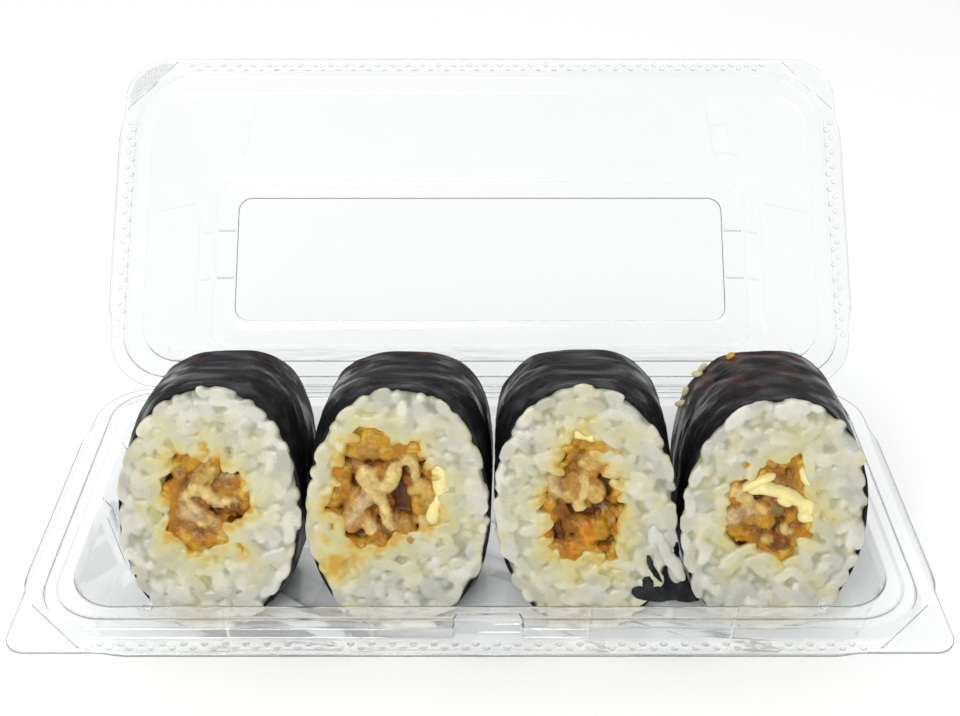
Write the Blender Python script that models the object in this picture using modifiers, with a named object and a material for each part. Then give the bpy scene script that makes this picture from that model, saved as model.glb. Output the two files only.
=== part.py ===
"""Takeaway sushi tray: a clear hinged box, open, with four thick rolls of rice wrapped in seaweed.

Metres, +Z up. The origin is at the middle of the tray's underside, +X runs along the row of rolls
and +Y from the front edge to the hinge.
"""

import math
import random

import bmesh
import bpy
from mathutils import Matrix, Vector

MM = 0.001

# The box
BOX_WIDTH = 210 * MM
BOX_DEPTH = 100 * MM
TRAY_HEIGHT = 18.5 * MM
LID_HEIGHT = 46 * MM
WALL = 0.5 * MM
GAP = 0.3 * MM
LID_ANGLE = math.radians(136.5)
RIDGE_HEIGHT = 2.4 * MM
STEP_HEIGHT = 3.0 * MM
CORNER_POINTS = 6

# The turned-out skirt along the straight edges
SKIRT_OUT = {"front": 0.5 * MM, "side": 1.5 * MM, "back": 0}
SKIRT_TURN = 0.8 * MM
SKIRT_END_X = 84 * MM
SKIRT_END_Y = 32 * MM
SKIRT_RUN_OUT = 4 * MM

# The flutes of the tray's walls and the notch in its front ridge
FLUTES = {
    "long": [(-65 * MM, 14 * MM), (-28 * MM, 7 * MM), (28 * MM, 7 * MM), (65 * MM, 14 * MM)],
    "side": [(-2 * MM, 7 * MM), (20 * MM, 7 * MM)],
}
FLUTE_EDGE = 1.5 * MM
FLUTE_DEPTH = 1.3 * MM
NOTCH = [(1.8 * MM, 16 * MM)]
NOTCH_EDGE = 1 * MM
NOTCH_DEPTH = 1.6 * MM

# The rolls: a face leans back, and the roll's axis falls towards the back
FACE_FOOT_Y = -26.6 * MM
FACE_LEAN = math.radians(14)
NORI_THICKNESS = 0.35 * MM
RICE_CLEARANCE = 0.85 * MM
SQUARED_BY = 9 * MM
OUTLINE_POINTS = 36
FILLING_POINTS = 18
GRAIN_SIZE = (5.8 * MM, 2.6 * MM, 2.4 * MM)
FRONT_GRAINS = 13
BACK_GRAINS = 5
NARROW_RICE = 7 * MM
CREAM_HALF_ANGLE = math.radians(60)

ROLLS = [
    {
        "x": -63.1 * MM, "width": 43.2 * MM, "height": 63.4 * MM, "length": 26.0 * MM,
        "yaw": math.radians(2.2), "fall": math.radians(14), "skew": 0.06, "squareness": 2.0,
        "back_squareness": 2.8,
        "hole": (-1.9 * MM, 34.0 * MM), "hole_size": (9.4 * MM, 16.2 * MM), "cream": None,
    },
    {
        "x": -19.1 * MM, "width": 43.4 * MM, "height": 63.0 * MM, "length": 26.0 * MM,
        "yaw": math.radians(2.2), "fall": math.radians(14), "skew": 0.02, "squareness": 2.0,
        "back_squareness": 3.0,
        "hole": (-3.3 * MM, 34.2 * MM), "hole_size": (14.2 * MM, 17.0 * MM),
        "cream": (0, 4.6 * MM),
    },
    {
        "x": 24.7 * MM, "width": 42.9 * MM, "height": 63.6 * MM, "length": 26.0 * MM,
        "yaw": math.radians(1.6), "fall": math.radians(14), "skew": -0.05, "squareness": 2.05,
        "back_squareness": 3.0,
        "hole": (0.2 * MM, 33.4 * MM), "hole_size": (10.6 * MM, 20.6 * MM),
        "cream": (math.radians(80), 5.4 * MM),
    },
    {
        "x": 68.8 * MM, "width": 43.9 * MM, "height": 60.2 * MM, "length": 30.0 * MM,
        "yaw": math.radians(1.0), "fall": math.radians(10.5), "skew": 0.0, "squareness": 2.2,
        "back_squareness": 2.5,
        "hole": (0.6 * MM, 33.0 * MM), "hole_size": (12.2 * MM, 15.4 * MM),
        "cream": (math.radians(40), 5.2 * MM),
    },
]


def material(name, color, roughness, alpha=1.0):
    """A Principled material with the part's colour and finish."""
    made = bpy.data.materials.new(name)
    made.use_nodes = True
    shader = made.node_tree.nodes["Principled BSDF"]
    shader.inputs["Base Color"].default_value = (*color, 1)
    shader.inputs["Roughness"].default_value = roughness
    shader.inputs["Metallic"].default_value = 0
    shader.inputs["Alpha"].default_value = alpha
    made.diffuse_color = (*color, alpha)
    return made


def add_object(name, bm, collection, finish, smooth=True):
    """The mesh as a named object in its collection, shaded smooth except over its edges."""
    mesh = bpy.data.meshes.new(name)
    bm.to_mesh(mesh)
    bm.free()
    mesh.materials.append(finish)
    if smooth:
        mesh.shade_smooth()
        mesh.set_sharp_from_angle(angle=math.radians(35))
    made = bpy.data.objects.new(name, mesh)
    collection.objects.link(made)
    return made


def loft(rings, closed=False, caps=False):
    """A surface through rings of like count: closed joins the last ring to the first."""
    bm = bmesh.new()
    rows = [[bm.verts.new(point) for point in ring] for ring in rings]
    pairs = list(zip(rows, rows[1:]))
    if closed:
        pairs.append((rows[-1], rows[0]))
    for near, far in pairs:
        for i in range(len(near)):
            j = (i + 1) % len(near)
            bm.faces.new((near[i], near[j], far[j], far[i]))
    if caps:
        bm.faces.new(rows[0])
        bm.faces.new(rows[-1])
    return bm


def face_out(bm):
    bmesh.ops.recalc_face_normals(bm, faces=bm.faces)
    if bm.calc_volume(signed=True) < 0:
        bmesh.ops.reverse_faces(bm, faces=bm.faces)


def rim_stations(flutes):
    """Where the long and the short sides of the box have points, apart from their corners."""
    def around(places, edge):
        return [
            place + way * (width / 2 - step)
            for place, width in places
            for way in (-1, 1)
            for step in (0, edge)
        ]

    ends_x = [side * reach for side in (-1, 1) for reach in (SKIRT_END_X, SKIRT_END_X - SKIRT_RUN_OUT)]
    ends_y = [side * reach for side in (-1, 1) for reach in (SKIRT_END_Y, SKIRT_END_Y - SKIRT_RUN_OUT)]
    long_flutes = around(FLUTES["long"], FLUTE_EDGE) if flutes else [0]
    short_flutes = around(FLUTES["side"], FLUTE_EDGE) if flutes else [0]
    notch = around(NOTCH, NOTCH_EDGE) if flutes else []
    return {
        "front": sorted(ends_x + long_flutes + notch),
        "back": sorted(long_flutes),
        "side": sorted(ends_y + short_flutes),
    }


def plateau(along, places, edge):
    """1 on the flat of each (place, width), falling to 0 over its edge."""
    inside = max(width / 2 - abs(along - place) for place, width in places)
    return max(0.0, min(1.0, inside / edge))


def rim_ring(stations, insets, radii, level, bend=None):
    """A rounded rectangle, inset by (front, side, back) with corner radii (front, back).

    bend gives how far out and how far up a straight side's point moves. A point that would
    pass the start of a corner is kept 1 mm short of it, and of its neighbour.
    """
    front, side, back = insets
    right = BOX_WIDTH / 2 - side
    near = -BOX_DEPTH / 2 + front
    far = BOX_DEPTH / 2 - back
    bend = bend or (lambda edge, along: (0, 0))
    points = []

    def straight(edge, places, place_of, outward, low, high):
        ordered = sorted(places)
        for along in places:
            out, up = bend(edge, along)
            order = ordered.index(along)
            kept = max(low + (order + 1) * MM, min(along, high - (len(places) - order) * MM))
            x, y = place_of(kept)
            points.append(Vector((x + outward[0] * out, y + outward[1] * out, level + up)))

    def corner(x_way, y_way, radius, start):
        center_x = x_way * (right - radius)
        center_y = (near + radius) if y_way < 0 else (far - radius)
        for step in range(CORNER_POINTS):
            angle = start + math.pi / 2 * step / (CORNER_POINTS - 1)
            x = center_x + radius * math.cos(angle)
            points.append(Vector((x, center_y + radius * math.sin(angle), level)))

    front_end = right - radii[0]
    back_end = right - radii[1]
    side_range = (near + radii[0], far - radii[1])
    straight("front", stations["front"], lambda a: (a, near), (0, -1), -front_end, front_end)
    corner(1, -1, radii[0], -math.pi / 2)
    straight("side", stations["side"], lambda a: (right, a), (1, 0), *side_range)
    corner(1, 1, radii[1], 0)
    straight("back", stations["back"][::-1], lambda a: (a, far), (0, 1), -back_end, back_end)
    corner(-1, 1, radii[1], math.pi / 2)
    straight("side", stations["side"][::-1], lambda a: (-right, a), (-1, 0), *side_range)
    corner(-1, -1, radii[0], math.pi)
    return points


def skirt(turn):
    """The edge strip's bend: out and, by turn, up or down along the straight stretches."""
    ends = {"front": SKIRT_END_X, "side": SKIRT_END_Y}

    def bend(edge, along):
        if edge == "back":
            return 0, 0
        share = max(0.0, min(1.0, (ends[edge] - abs(along)) / SKIRT_RUN_OUT))
        return SKIRT_OUT[edge] * share, turn * share

    return bend


def notch(edge, along):
    if edge != "front":
        return 0, 0
    return -NOTCH_DEPTH * plateau(along, NOTCH, NOTCH_EDGE), 0


def flutes(edge, along):
    places = FLUTES["side" if edge == "side" else "long"]
    return -FLUTE_DEPTH * plateau(along, places, FLUTE_EDGE), 0


def shell(name, rings, collection, finish, upward):
    """A thin formed sheet through the rings, which lie on its inner face, thickened outwards."""
    bm = loft(rings)
    bm.verts.ensure_lookup_table()
    count = len(rings[0])
    bm.faces.new(bm.verts[-count:])
    bmesh.ops.recalc_face_normals(bm, faces=bm.faces)
    bm.faces.ensure_lookup_table()
    if (bm.faces[-1].normal.z > 0) != upward:
        bmesh.ops.reverse_faces(bm, faces=bm.faces)
    made = add_object(name, bm, collection, finish)
    solidify = made.modifiers.new("Sheet", "SOLIDIFY")
    solidify.thickness = WALL
    solidify.offset = -1
    solidify.use_even_offset = True
    return made


def tray(collection, finish):
    """The base: skirt, flange, seal ridge with a notch, ledge, fluted walls and a flat floor."""
    stations = rim_stations(flutes=True)
    top = TRAY_HEIGHT
    ridge = top + RIDGE_HEIGHT
    ledge = ridge - 0.8 * MM

    def ring(insets, radii, level, bend=None):
        return rim_ring(stations, [inset * MM for inset in insets], [r * MM for r in radii], level, bend)

    rings = [
        ring((0, 0, 0.3), (5, 14), top, skirt(-SKIRT_TURN)),
        ring((1.0, 1.0, 1.3), (4.5, 13.5), top),
        ring((4.2, 4.2, 4.2), (16, 12), top, notch),
        ring((4.9, 4.9, 4.9), (15.3, 11.3), ridge, notch),
        ring((8.0, 7.4, 7.4), (13, 10.6), ridge, notch),
        ring((8.6, 8.0, 8.0), (12.6, 10.3), ledge, notch),
        ring((12.8, 10.5, 10.5), (12, 10), ledge),
        ring((13.7, 11.4, 11.4), (11.5, 9.5), top - 1.2 * MM, flutes),
        ring((16.3, 13.5, 13.5), (10, 9), 2.6 * MM, flutes),
        ring((18.3, 15.5, 15.5), (8.5, 8), WALL),
    ]
    return shell("tray", rings, collection, finish, upward=True)


def lid(collection, finish):
    """The cover, drawn shut over the tray and then turned open on the crease."""
    stations = rim_stations(flutes=False)
    crease = Vector((0, BOX_DEPTH / 2, TRAY_HEIGHT + GAP / 2))
    crown = LID_HEIGHT

    def ring(insets, radii, level, bend=None):
        inset_m = [inset * MM for inset in insets]
        drawn = rim_ring(stations, inset_m, [r * MM for r in radii], level, bend)
        to_crease = Vector((0, -crease.y, GAP / 2))
        return [point + to_crease for point in drawn]

    rings = [
        ring((0, 0, 0.3), (12.5, 14), 0, skirt(SKIRT_TURN)),
        ring((1.0, 1.0, 1.3), (12, 13.5), 0),
        ring((3.4, 3.4, 3.4), (16.8, 12.8), 0),
        ring((4.1, 4.1, 4.1), (16.1, 12.1), STEP_HEIGHT),
        ring((10.0, 7.6, 8.4), (13, 11), STEP_HEIGHT),
        ring((10.5, 8.1, 8.9), (12.6, 10.6), STEP_HEIGHT + 1.3 * MM),
        ring((20.7, 18.2, 21.6), (7, 7), crown - 1.7 * MM),
        ring((22.0, 19.5, 22.9), (6, 6), crown),
        ring((27.0, 25.4, 30.1), (5, 5), crown),
        ring((27.7, 26.1, 30.8), (4.5, 4.5), crown - 1.2 * MM),
    ]
    made = shell("lid", rings, collection, finish, upward=False)
    made.location = crease
    made.rotation_euler.x = -LID_ANGLE
    return made


def wobble(angle, seed):
    """A slow, small swell round a hand-rolled outline."""
    turn = seed * 1.7
    return 0.006 * math.sin(3 * angle + turn) + 0.005 * math.sin(5 * angle + 2.3 * turn)


def roll_point(roll, u, v, w, clearance):
    """A point u right of the roll's middle and v up its face, w behind the face, kept off the floor."""
    x = roll["x"] + u + roll["skew"] * (v - roll["height"] / 2) + w * math.sin(roll["yaw"])
    y = FACE_FOOT_Y + v * math.sin(FACE_LEAN) + w * math.cos(roll["fall"])
    z = WALL + GAP + v * math.cos(FACE_LEAN) - w * math.sin(roll["fall"])
    return Vector((x, y, max(z, WALL + GAP + clearance)))


def power(value, exponent):
    return math.copysign(abs(value) ** exponent, value)


def squareness(roll, w):
    """How square the section is: rounder at the cut that faces forward than behind it."""
    share = min(1.0, max(0.0, w / SQUARED_BY))
    return roll["squareness"] + (roll["back_squareness"] - roll["squareness"]) * share


def outer_uv(roll, angle, w, inward, seed):
    """A point on the roll's outline w behind the face, moved inward from the seaweed's outer face."""
    grow = 1 + wobble(angle, seed)
    exponent = 2 / squareness(roll, w)
    half_width = roll["width"] / 2 / 1.011 - inward
    half_height = roll["height"] / 2 - inward
    u = half_width * grow * power(math.cos(angle), exponent)
    v = roll["height"] / 2 + half_height * power(math.sin(angle), exponent)
    return u, v


def hole_uv(roll, angle, inward, seed):
    """A point on the edge of the hole for the filling, moved inward from the rice."""
    swell = 1 + 0.06 * math.sin(2 * angle + seed) + 0.05 * math.sin(3 * angle + 2 * seed)
    u = roll["hole"][0] + (roll["hole_size"][0] * swell - inward) * math.cos(angle)
    v = roll["hole"][1] + (roll["hole_size"][1] * swell - inward) * math.sin(angle)
    return u, v


def cream_depth(roll, angle):
    """How thick the strip of cream lies between the filling and the rice at this angle."""
    if roll["cream"] is None:
        return 0.0
    middle, thickness = roll["cream"]
    away = abs((angle - middle + math.pi) % (2 * math.pi) - math.pi)
    if away >= CREAM_HALF_ANGLE:
        return 0.0
    return thickness * math.cos(math.pi / 2 * away / CREAM_HALF_ANGLE) ** 2


def angles(count):
    return [2 * math.pi * i / count for i in range(count)]


def nori(number, roll, collection, finish):
    """The seaweed sheet round the roll, open at both cut faces."""
    setback = 0.7 * MM
    stations = (setback, SQUARED_BY, roll["length"] - setback)
    rings = []
    for w in stations:
        uv = [outer_uv(roll, angle, w, 0, number) for angle in angles(OUTLINE_POINTS)]
        rings.append([roll_point(roll, u, v, w, 0) for u, v in uv])
    bm = loft(rings)
    bmesh.ops.recalc_face_normals(bm, faces=bm.faces)
    bm.faces.ensure_lookup_table()
    first = bm.faces[0]
    middle = roll_point(roll, 0, roll["height"] / 2, roll["length"] / 2, 0)
    if first.normal.dot(first.calc_center_median() - middle) < 0:
        bmesh.ops.reverse_faces(bm, faces=bm.faces)
    made = add_object(f"nori_{number}", bm, collection, finish)
    solidify = made.modifiers.new("Sheet", "SOLIDIFY")
    solidify.thickness = NORI_THICKNESS
    solidify.offset = -1
    solidify.use_even_offset = True
    return made


def ellipsoid(name, size, place, turn, collection):
    """A rounded grain with few sides."""
    bm = bmesh.new()
    bmesh.ops.create_uvsphere(bm, u_segments=6, v_segments=4, radius=0.5)
    bm.transform(Matrix.LocRotScale(place, turn, Vector(size)))
    mesh = bpy.data.meshes.new(name)
    bm.to_mesh(mesh)
    bm.free()
    made = bpy.data.objects.new(name, mesh)
    collection.objects.link(made)
    return made


def fuse(made, pieces):
    """Joins the pieces of a collection to the object with one applied union, and removes them."""
    union = made.modifiers.new("Fused", "BOOLEAN")
    union.operation = "UNION"
    union.operand_type = "COLLECTION"
    union.collection = pieces
    union.solver = "EXACT"
    bpy.context.view_layer.update()
    graph = bpy.context.evaluated_depsgraph_get()
    joined = bpy.data.meshes.new_from_object(made.evaluated_get(graph))
    made.modifiers.clear()
    old = made.data
    made.data = joined
    bpy.data.meshes.remove(old)
    for piece in list(pieces.objects):
        bpy.data.objects.remove(piece)
    made.data.shade_smooth()
    made.data.set_sharp_from_angle(angle=math.radians(35))


def face_turn(roll, spin, tip):
    """A turn that lays a grain's long axis in the face, spun in it and tipped out of it."""
    return Matrix.Rotation(-FACE_LEAN, 3, "X") @ Matrix.Rotation(spin, 3, "Y") @ Matrix.Rotation(tip, 3, "Z")


def blend(near, far, share):
    return tuple(a * (1 - share) + b * share for a, b in zip(near, far))


def rice(number, roll, collection, cutters, finish):
    """The ring of rice: bumpy cut faces, with some whole grains standing out of them."""
    draw = random.Random(100 + number)
    length = roll["length"]
    profile = [
        (0.0, 0.7 * MM), (0.3, 0.0), (0.6, 0.0), (0.86, 0.1 * MM), (1.0, 1.3 * MM),
        (1.0, SQUARED_BY),
        (1.0, length - 1.3 * MM), (0.86, length - 0.1 * MM), (0.6, length), (0.3, length),
        (0.0, length - 0.7 * MM),
    ]
    rings = []
    for share, w in profile:
        ring = []
        for angle in angles(OUTLINE_POINTS):
            bumpy = 0 < share < 1
            at = angle + (draw.uniform(-0.03, 0.03) if bumpy else 0)
            reach = share + (draw.uniform(-0.06, 0.06) if bumpy else 0)
            depth = w + (draw.uniform(-0.8, 0.6) * MM if bumpy else 0)
            inner = hole_uv(roll, at, 0, number)
            outer = outer_uv(roll, at, w, RICE_CLEARANCE, number)
            u, v = blend(inner, outer, reach)
            ring.append(roll_point(roll, u, v, depth, RICE_CLEARANCE))
        rings.append(ring)
    bm = loft(rings, closed=True)
    face_out(bm)
    made = add_object(f"rice_{number}", bm, collection, finish)
    grains = bpy.data.collections.new(f"rice_{number}_grains")
    cutters.children.link(grains)
    for count, w in ((FRONT_GRAINS, 0.3 * MM), (BACK_GRAINS, length - 0.3 * MM)):
        start = draw.uniform(0, math.pi)
        for i in range(count):
            angle = start + 2 * math.pi * i / count + draw.uniform(-0.1, 0.1)
            inner = hole_uv(roll, angle, 0, number)
            outer = outer_uv(roll, angle, w, RICE_CLEARANCE, number)
            if math.dist(inner, outer) < NARROW_RICE:
                continue
            u, v = blend(inner, outer, draw.uniform(0.46, 0.56))
            place = roll_point(roll, u, v, w, 2.5 * MM)
            spin = math.pi / 2 - angle + draw.uniform(-0.4, 0.4)
            turn = face_turn(roll, spin, draw.uniform(-0.15, 0.15)).to_quaternion()
            ellipsoid(f"grain_{number}_{w:.4f}_{i}", GRAIN_SIZE, place, turn, grains)
    fuse(made, grains)
    bpy.data.collections.remove(grains)
    return made


def filling(number, roll, collection, cutters, finish):
    """The cooked filling through the roll, with folded lumps of meat at its cut ends."""
    draw = random.Random(200 + number)
    length = roll["length"]
    profile = [
        (0.4, 0.5 * MM), (0.75, 0.3 * MM), (1.0, 1.3 * MM),
        (1.0, length - 1.3 * MM), (0.75, length - 0.3 * MM), (0.4, length - 0.5 * MM),
    ]
    rings = []
    for share, w in profile:
        ring = []
        for angle in angles(FILLING_POINTS):
            cream = cream_depth(roll, angle)
            inward = GAP + (cream + GAP * 1.3 if cream > 0 else 0)
            u, v = hole_uv(roll, angle, inward, number)
            u, v = blend(roll["hole"], (u, v), share)
            depth = w + (draw.uniform(-0.7, 0.9) * MM if share < 1 else 0)
            ring.append(roll_point(roll, u, v, depth, RICE_CLEARANCE))
        rings.append(ring)
    bm = loft(rings, caps=True)
    face_out(bm)
    made = add_object(f"filling_{number}", bm, collection, finish)
    lumps = bpy.data.collections.new(f"filling_{number}_lumps")
    cutters.children.link(lumps)
    for count, w in ((4, 0.8 * MM), (2, length - 0.8 * MM)):
        start = draw.uniform(0, math.pi)
        for i in range(count):
            angle = start + 2 * math.pi * i / count
            cream = cream_depth(roll, angle)
            u, v = hole_uv(roll, angle, 3.2 * MM + cream, number)
            u, v = blend(roll["hole"], (u, v), 0.55)
            place = roll_point(roll, u, v, w, 2.5 * MM)
            turn = face_turn(roll, draw.uniform(0, math.pi), 0).to_quaternion()
            size = (draw.uniform(5.5, 7.5) * MM, 2.8 * MM, draw.uniform(3.0, 4.2) * MM)
            ellipsoid(f"lump_{number}_{w:.4f}_{i}", size, place, turn, lumps)
    fuse(made, lumps)
    bpy.data.collections.remove(lumps)
    return made


def cream(number, roll, collection, finish):
    """The strip of cream beside the filling, a crescent across its section."""
    length = roll["length"]
    spread = [a for a in angles(FILLING_POINTS) if cream_depth(roll, a) > 0.4 * MM]
    middle = roll["cream"][0]
    spread.sort(key=lambda a: (a - middle + math.pi) % (2 * math.pi))
    rings = []
    for share, w in ((0.55, 0.2 * MM), (1.0, 1.2 * MM), (1.0, length - 1.2 * MM), (0.55, length - 0.2 * MM)):
        outside = [hole_uv(roll, a, GAP, number) for a in spread]
        inside = [hole_uv(roll, a, GAP + cream_depth(roll, a), number) for a in spread]
        section = [*outside, *inside[::-1]]
        heart = hole_uv(roll, middle, GAP + cream_depth(roll, middle) / 2, number)
        section = [blend(heart, point, share) for point in section]
        rings.append([roll_point(roll, u, v, w, RICE_CLEARANCE) for u, v in section])
    bm = loft(rings, caps=True)
    face_out(bm)
    return add_object(f"cream_{number}", bm, collection, finish)


def main():
    for old in list(bpy.data.objects):
        bpy.data.objects.remove(old)
    scene = bpy.context.scene.collection
    box = bpy.data.collections.new("takeaway_sushi_tray")
    cutters = bpy.data.collections.new("cutters")
    cutters.hide_render = True
    scene.children.link(box)
    scene.children.link(cutters)

    tray(box, material("tray_plastic", (0.86, 0.88, 0.88), 0.08, alpha=0.3))
    lid(box, material("lid_plastic", (0.86, 0.88, 0.88), 0.08, alpha=0.3))
    for number, roll in enumerate(ROLLS, start=1):
        nori(number, roll, box, material(f"nori_{number}_sheet", (0.028, 0.030, 0.030), 0.42))
        rice(number, roll, box, cutters, material(f"rice_{number}_grains", (0.80, 0.80, 0.76), 0.35))
        filling(number, roll, box, cutters, material(f"filling_{number}_meat", (0.50, 0.27, 0.10), 0.4))
        if roll["cream"]:
            cream(number, roll, box, material(f"cream_{number}_sauce", (0.88, 0.80, 0.48), 0.3))


main()
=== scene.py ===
import math
import random

import bmesh
import bpy
import numpy as np
from mathutils import Matrix, Vector, noise
from mathutils.kdtree import KDTree


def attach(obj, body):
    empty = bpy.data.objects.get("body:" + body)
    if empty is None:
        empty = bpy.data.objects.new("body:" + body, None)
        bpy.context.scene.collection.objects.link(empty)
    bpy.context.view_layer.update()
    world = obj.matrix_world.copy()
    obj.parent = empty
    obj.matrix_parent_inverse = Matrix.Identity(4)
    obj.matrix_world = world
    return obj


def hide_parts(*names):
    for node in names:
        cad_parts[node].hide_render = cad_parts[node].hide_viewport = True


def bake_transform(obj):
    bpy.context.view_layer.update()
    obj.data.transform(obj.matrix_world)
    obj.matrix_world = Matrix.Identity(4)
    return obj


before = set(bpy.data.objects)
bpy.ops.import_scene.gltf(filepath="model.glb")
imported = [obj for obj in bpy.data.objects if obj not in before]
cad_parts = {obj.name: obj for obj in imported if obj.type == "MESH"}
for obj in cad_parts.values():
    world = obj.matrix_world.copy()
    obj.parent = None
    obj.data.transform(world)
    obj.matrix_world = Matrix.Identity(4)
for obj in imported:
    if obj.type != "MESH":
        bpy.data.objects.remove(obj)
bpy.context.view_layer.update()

# The tray: the lower half of a clear hinged box. It is one sheet of plastic formed over a mould,
# with a raised seal ridge round the flange, a thumb notch in front, fluted walls and a flat floor.
MM = 0.001
BOX_WIDTH = 210 * MM
BOX_DEPTH = 100 * MM
TRAY_HEIGHT = 18.5
SHEET = 0.4 * MM
CLEAR_TINT = (0.975, 0.98, 0.98, 1)
BEND_REACH = 0.55
CORNER_STEPS = 12
SPARE_STEPS = 12
RUN_STEPS = (0, 0.2, 0.4, 0.6, 0.8, 1)
SKIRT_OUT = {"front": 0.5 * MM, "side": 1.5 * MM, "back": 0}
SKIRT_TURN = 0.8 * MM
SKIRT_END = {"front": 84 * MM, "side": 32 * MM, "back": 0}
SKIRT_RUN = 6 * MM
FLUTE_RUN = 1.5 * MM
FLUTE_DEPTH = 1.3 * MM
NOTCH_RUN = 1.0 * MM
NOTCH_DEPTH = 1.6 * MM
FRONT_FLUTES = ((-65, 14), (-28, 7), (28, 7), (65, 14))
SIDE_FLUTES = ((-2, 7), (20, 7))
FLUTES = {
    "front": [(place * MM, width * MM, FLUTE_RUN) for place, width in FRONT_FLUTES],
    "side": [(place * MM, width * MM, FLUTE_RUN) for place, width in SIDE_FLUTES],
}
FLUTES["back"] = FLUTES["front"]
NOTCH = [(1.8 * MM, 16 * MM, NOTCH_RUN)]


def bent(profile, reach):
    """The rows of a profile with each of its corners rounded, in millimetres."""
    rows = [profile[0]]
    for before, here, after in zip(profile, profile[1:], profile[2:]):
        ends = []
        for other in (before, after):
            step = other - here
            length = math.hypot(step[:3].mean(), step[5])
            ends.append(here + step * min(reach / length, 0.42))
        rows += [ends[0], (ends[0] + 2 * here + ends[1]) / 4, ends[1]]
    rows.append(profile[-1])
    return rows


def edge_places(raised, low, high):
    """Places along a straight edge: close together where a flute's side runs, wider apart elsewhere."""
    close = sorted(
        place + way * (width / 2 - run * share)
        for place, width, run in raised
        for way in (-1, 1)
        for share in RUN_STEPS
    )
    return [
        *np.linspace(low, close[0] - MM, SPARE_STEPS),
        *close,
        *np.linspace(close[-1] + MM, high, SPARE_STEPS),
    ]


def ease(share):
    """A smooth rise from 0 to 1."""
    share = max(0.0, min(1.0, share))
    return share * share * (3 - 2 * share)


def plateau(along, raised):
    """1 on the flat of a flute, falling smoothly to 0 at its foot."""
    return max(ease((width / 2 - abs(along - place)) / run) for place, width, run in raised)


def rim_ring(row, skirt_turn, raised):
    """One closed ring of the sheet: a rounded rectangle with its flutes, notch and skirt."""
    front, side, back, near_radius, far_radius, level = (value * MM for value in row[:6])
    skirt, notch, flute = row[6:]
    right = BOX_WIDTH / 2 - side
    near = -BOX_DEPTH / 2 + front
    far = BOX_DEPTH / 2 - back
    points = []

    def straight(edge, places, place_of, outward):
        for along in places:
            share = ease((SKIRT_END[edge] - abs(along)) / SKIRT_RUN) if SKIRT_END[edge] else 0
            out = skirt * SKIRT_OUT[edge] * share
            out -= flute * FLUTE_DEPTH * plateau(along, raised[edge])
            if edge == "front":
                out -= notch * NOTCH_DEPTH * plateau(along, NOTCH)
            x, y = place_of(along)
            up = skirt * skirt_turn * share * (edge != "back")
            points.append((x + outward[0] * out, y + outward[1] * out, level + up))

    def corner(x_way, y_way, radius, start):
        center_x = x_way * (right - radius)
        center_y = near + radius if y_way < 0 else far - radius
        for step in range(1, CORNER_STEPS):
            angle = start + math.pi / 2 * step / CORNER_STEPS
            x = center_x + radius * math.cos(angle)
            points.append((x, center_y + radius * math.sin(angle), level))

    front_places = edge_places(raised["front"] + NOTCH, near_radius - right, right - near_radius)
    back_places = edge_places(raised["back"], far_radius - right, right - far_radius)
    side_places = edge_places(raised["side"], near + near_radius, far - far_radius)
    straight("front", front_places, lambda a: (a, near), (0, -1))
    corner(1, -1, near_radius, -math.pi / 2)
    straight("side", side_places, lambda a: (right, a), (1, 0))
    corner(1, 1, far_radius, 0)
    straight("back", back_places[::-1], lambda a: (a, far), (0, 1))
    corner(-1, 1, far_radius, math.pi / 2)
    straight("side", side_places[::-1], lambda a: (-right, a), (-1, 0))
    corner(-1, -1, near_radius, math.pi)
    return points


def loft(rings):
    """A mesh through rings of like count, and its rows of points."""
    bm = bmesh.new()
    rows = [[bm.verts.new(point) for point in ring] for ring in rings]
    for near, far in zip(rows, rows[1:]):
        for i in range(len(near)):
            j = (i + 1) % len(near)
            bm.faces.new((near[i], near[j], far[j], far[i]))
    return bm, rows


def in_scene(name, mesh, finish, smooth_angle=180):
    """The mesh as a named object in the scene, smooth except over its sharp edges."""
    mesh.materials.append(finish)
    mesh.shade_smooth()
    if smooth_angle < 180:
        mesh.set_sharp_from_angle(angle=math.radians(smooth_angle))
    made = bpy.data.objects.new(name, mesh)
    bpy.context.scene.collection.objects.link(made)
    return made


def finished_mesh(name, bm):
    """The mesh that has been built up in bm, ready to be an object."""
    mesh = bpy.data.meshes.new(name)
    bm.to_mesh(mesh)
    bm.free()
    return mesh


def add_piece(name, bm, body, finish, smooth_angle=50):
    """The mesh as a named piece that rides on its body."""
    piece = in_scene(name, finished_mesh(name, bm), finish, smooth_angle)
    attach(piece, body)
    return piece


def formed_sheet(profile, skirt_turn, raised, upward, to_place=None):
    """The thin sheet through a profile's rings, which lie on its inner face, closed by its last ring."""
    rings = [rim_ring(row, skirt_turn, raised) for row in bent(profile, BEND_REACH)]
    bm, rows = loft(rings)
    bm.faces.new(rows[-1])
    bmesh.ops.recalc_face_normals(bm, faces=bm.faces)
    bm.faces.ensure_lookup_table()
    if (bm.faces[-1].normal.z > 0) != upward:
        bmesh.ops.reverse_faces(bm, faces=bm.faces)
    if to_place:
        bm.transform(to_place)
    return bm


def thicken(piece, thickness):
    """Gives the sheet its thickness, away from the side that its faces point to."""
    solidify = piece.modifiers.new("Sheet", "SOLIDIFY")
    solidify.thickness = thickness
    solidify.offset = -1
    solidify.use_even_offset = True


def new_material(name):
    """A material with its Principled node and its tree."""
    made = bpy.data.materials.new(name)
    made.use_nodes = True
    return made, made.node_tree, made.node_tree.nodes["Principled BSDF"]


def node(tree, kind, **values):
    """A shader node with its settings, and with values on its sockets by name."""
    made = tree.nodes.new(kind)
    for name, value in values.items():
        if name in made.inputs:
            made.inputs[name].default_value = value
        else:
            setattr(made, name, value)
    return made


def set_sockets(shader, values):
    """Sets constants on a shader's own sockets."""
    for name, value in values.items():
        shader.inputs[name].default_value = value


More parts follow.
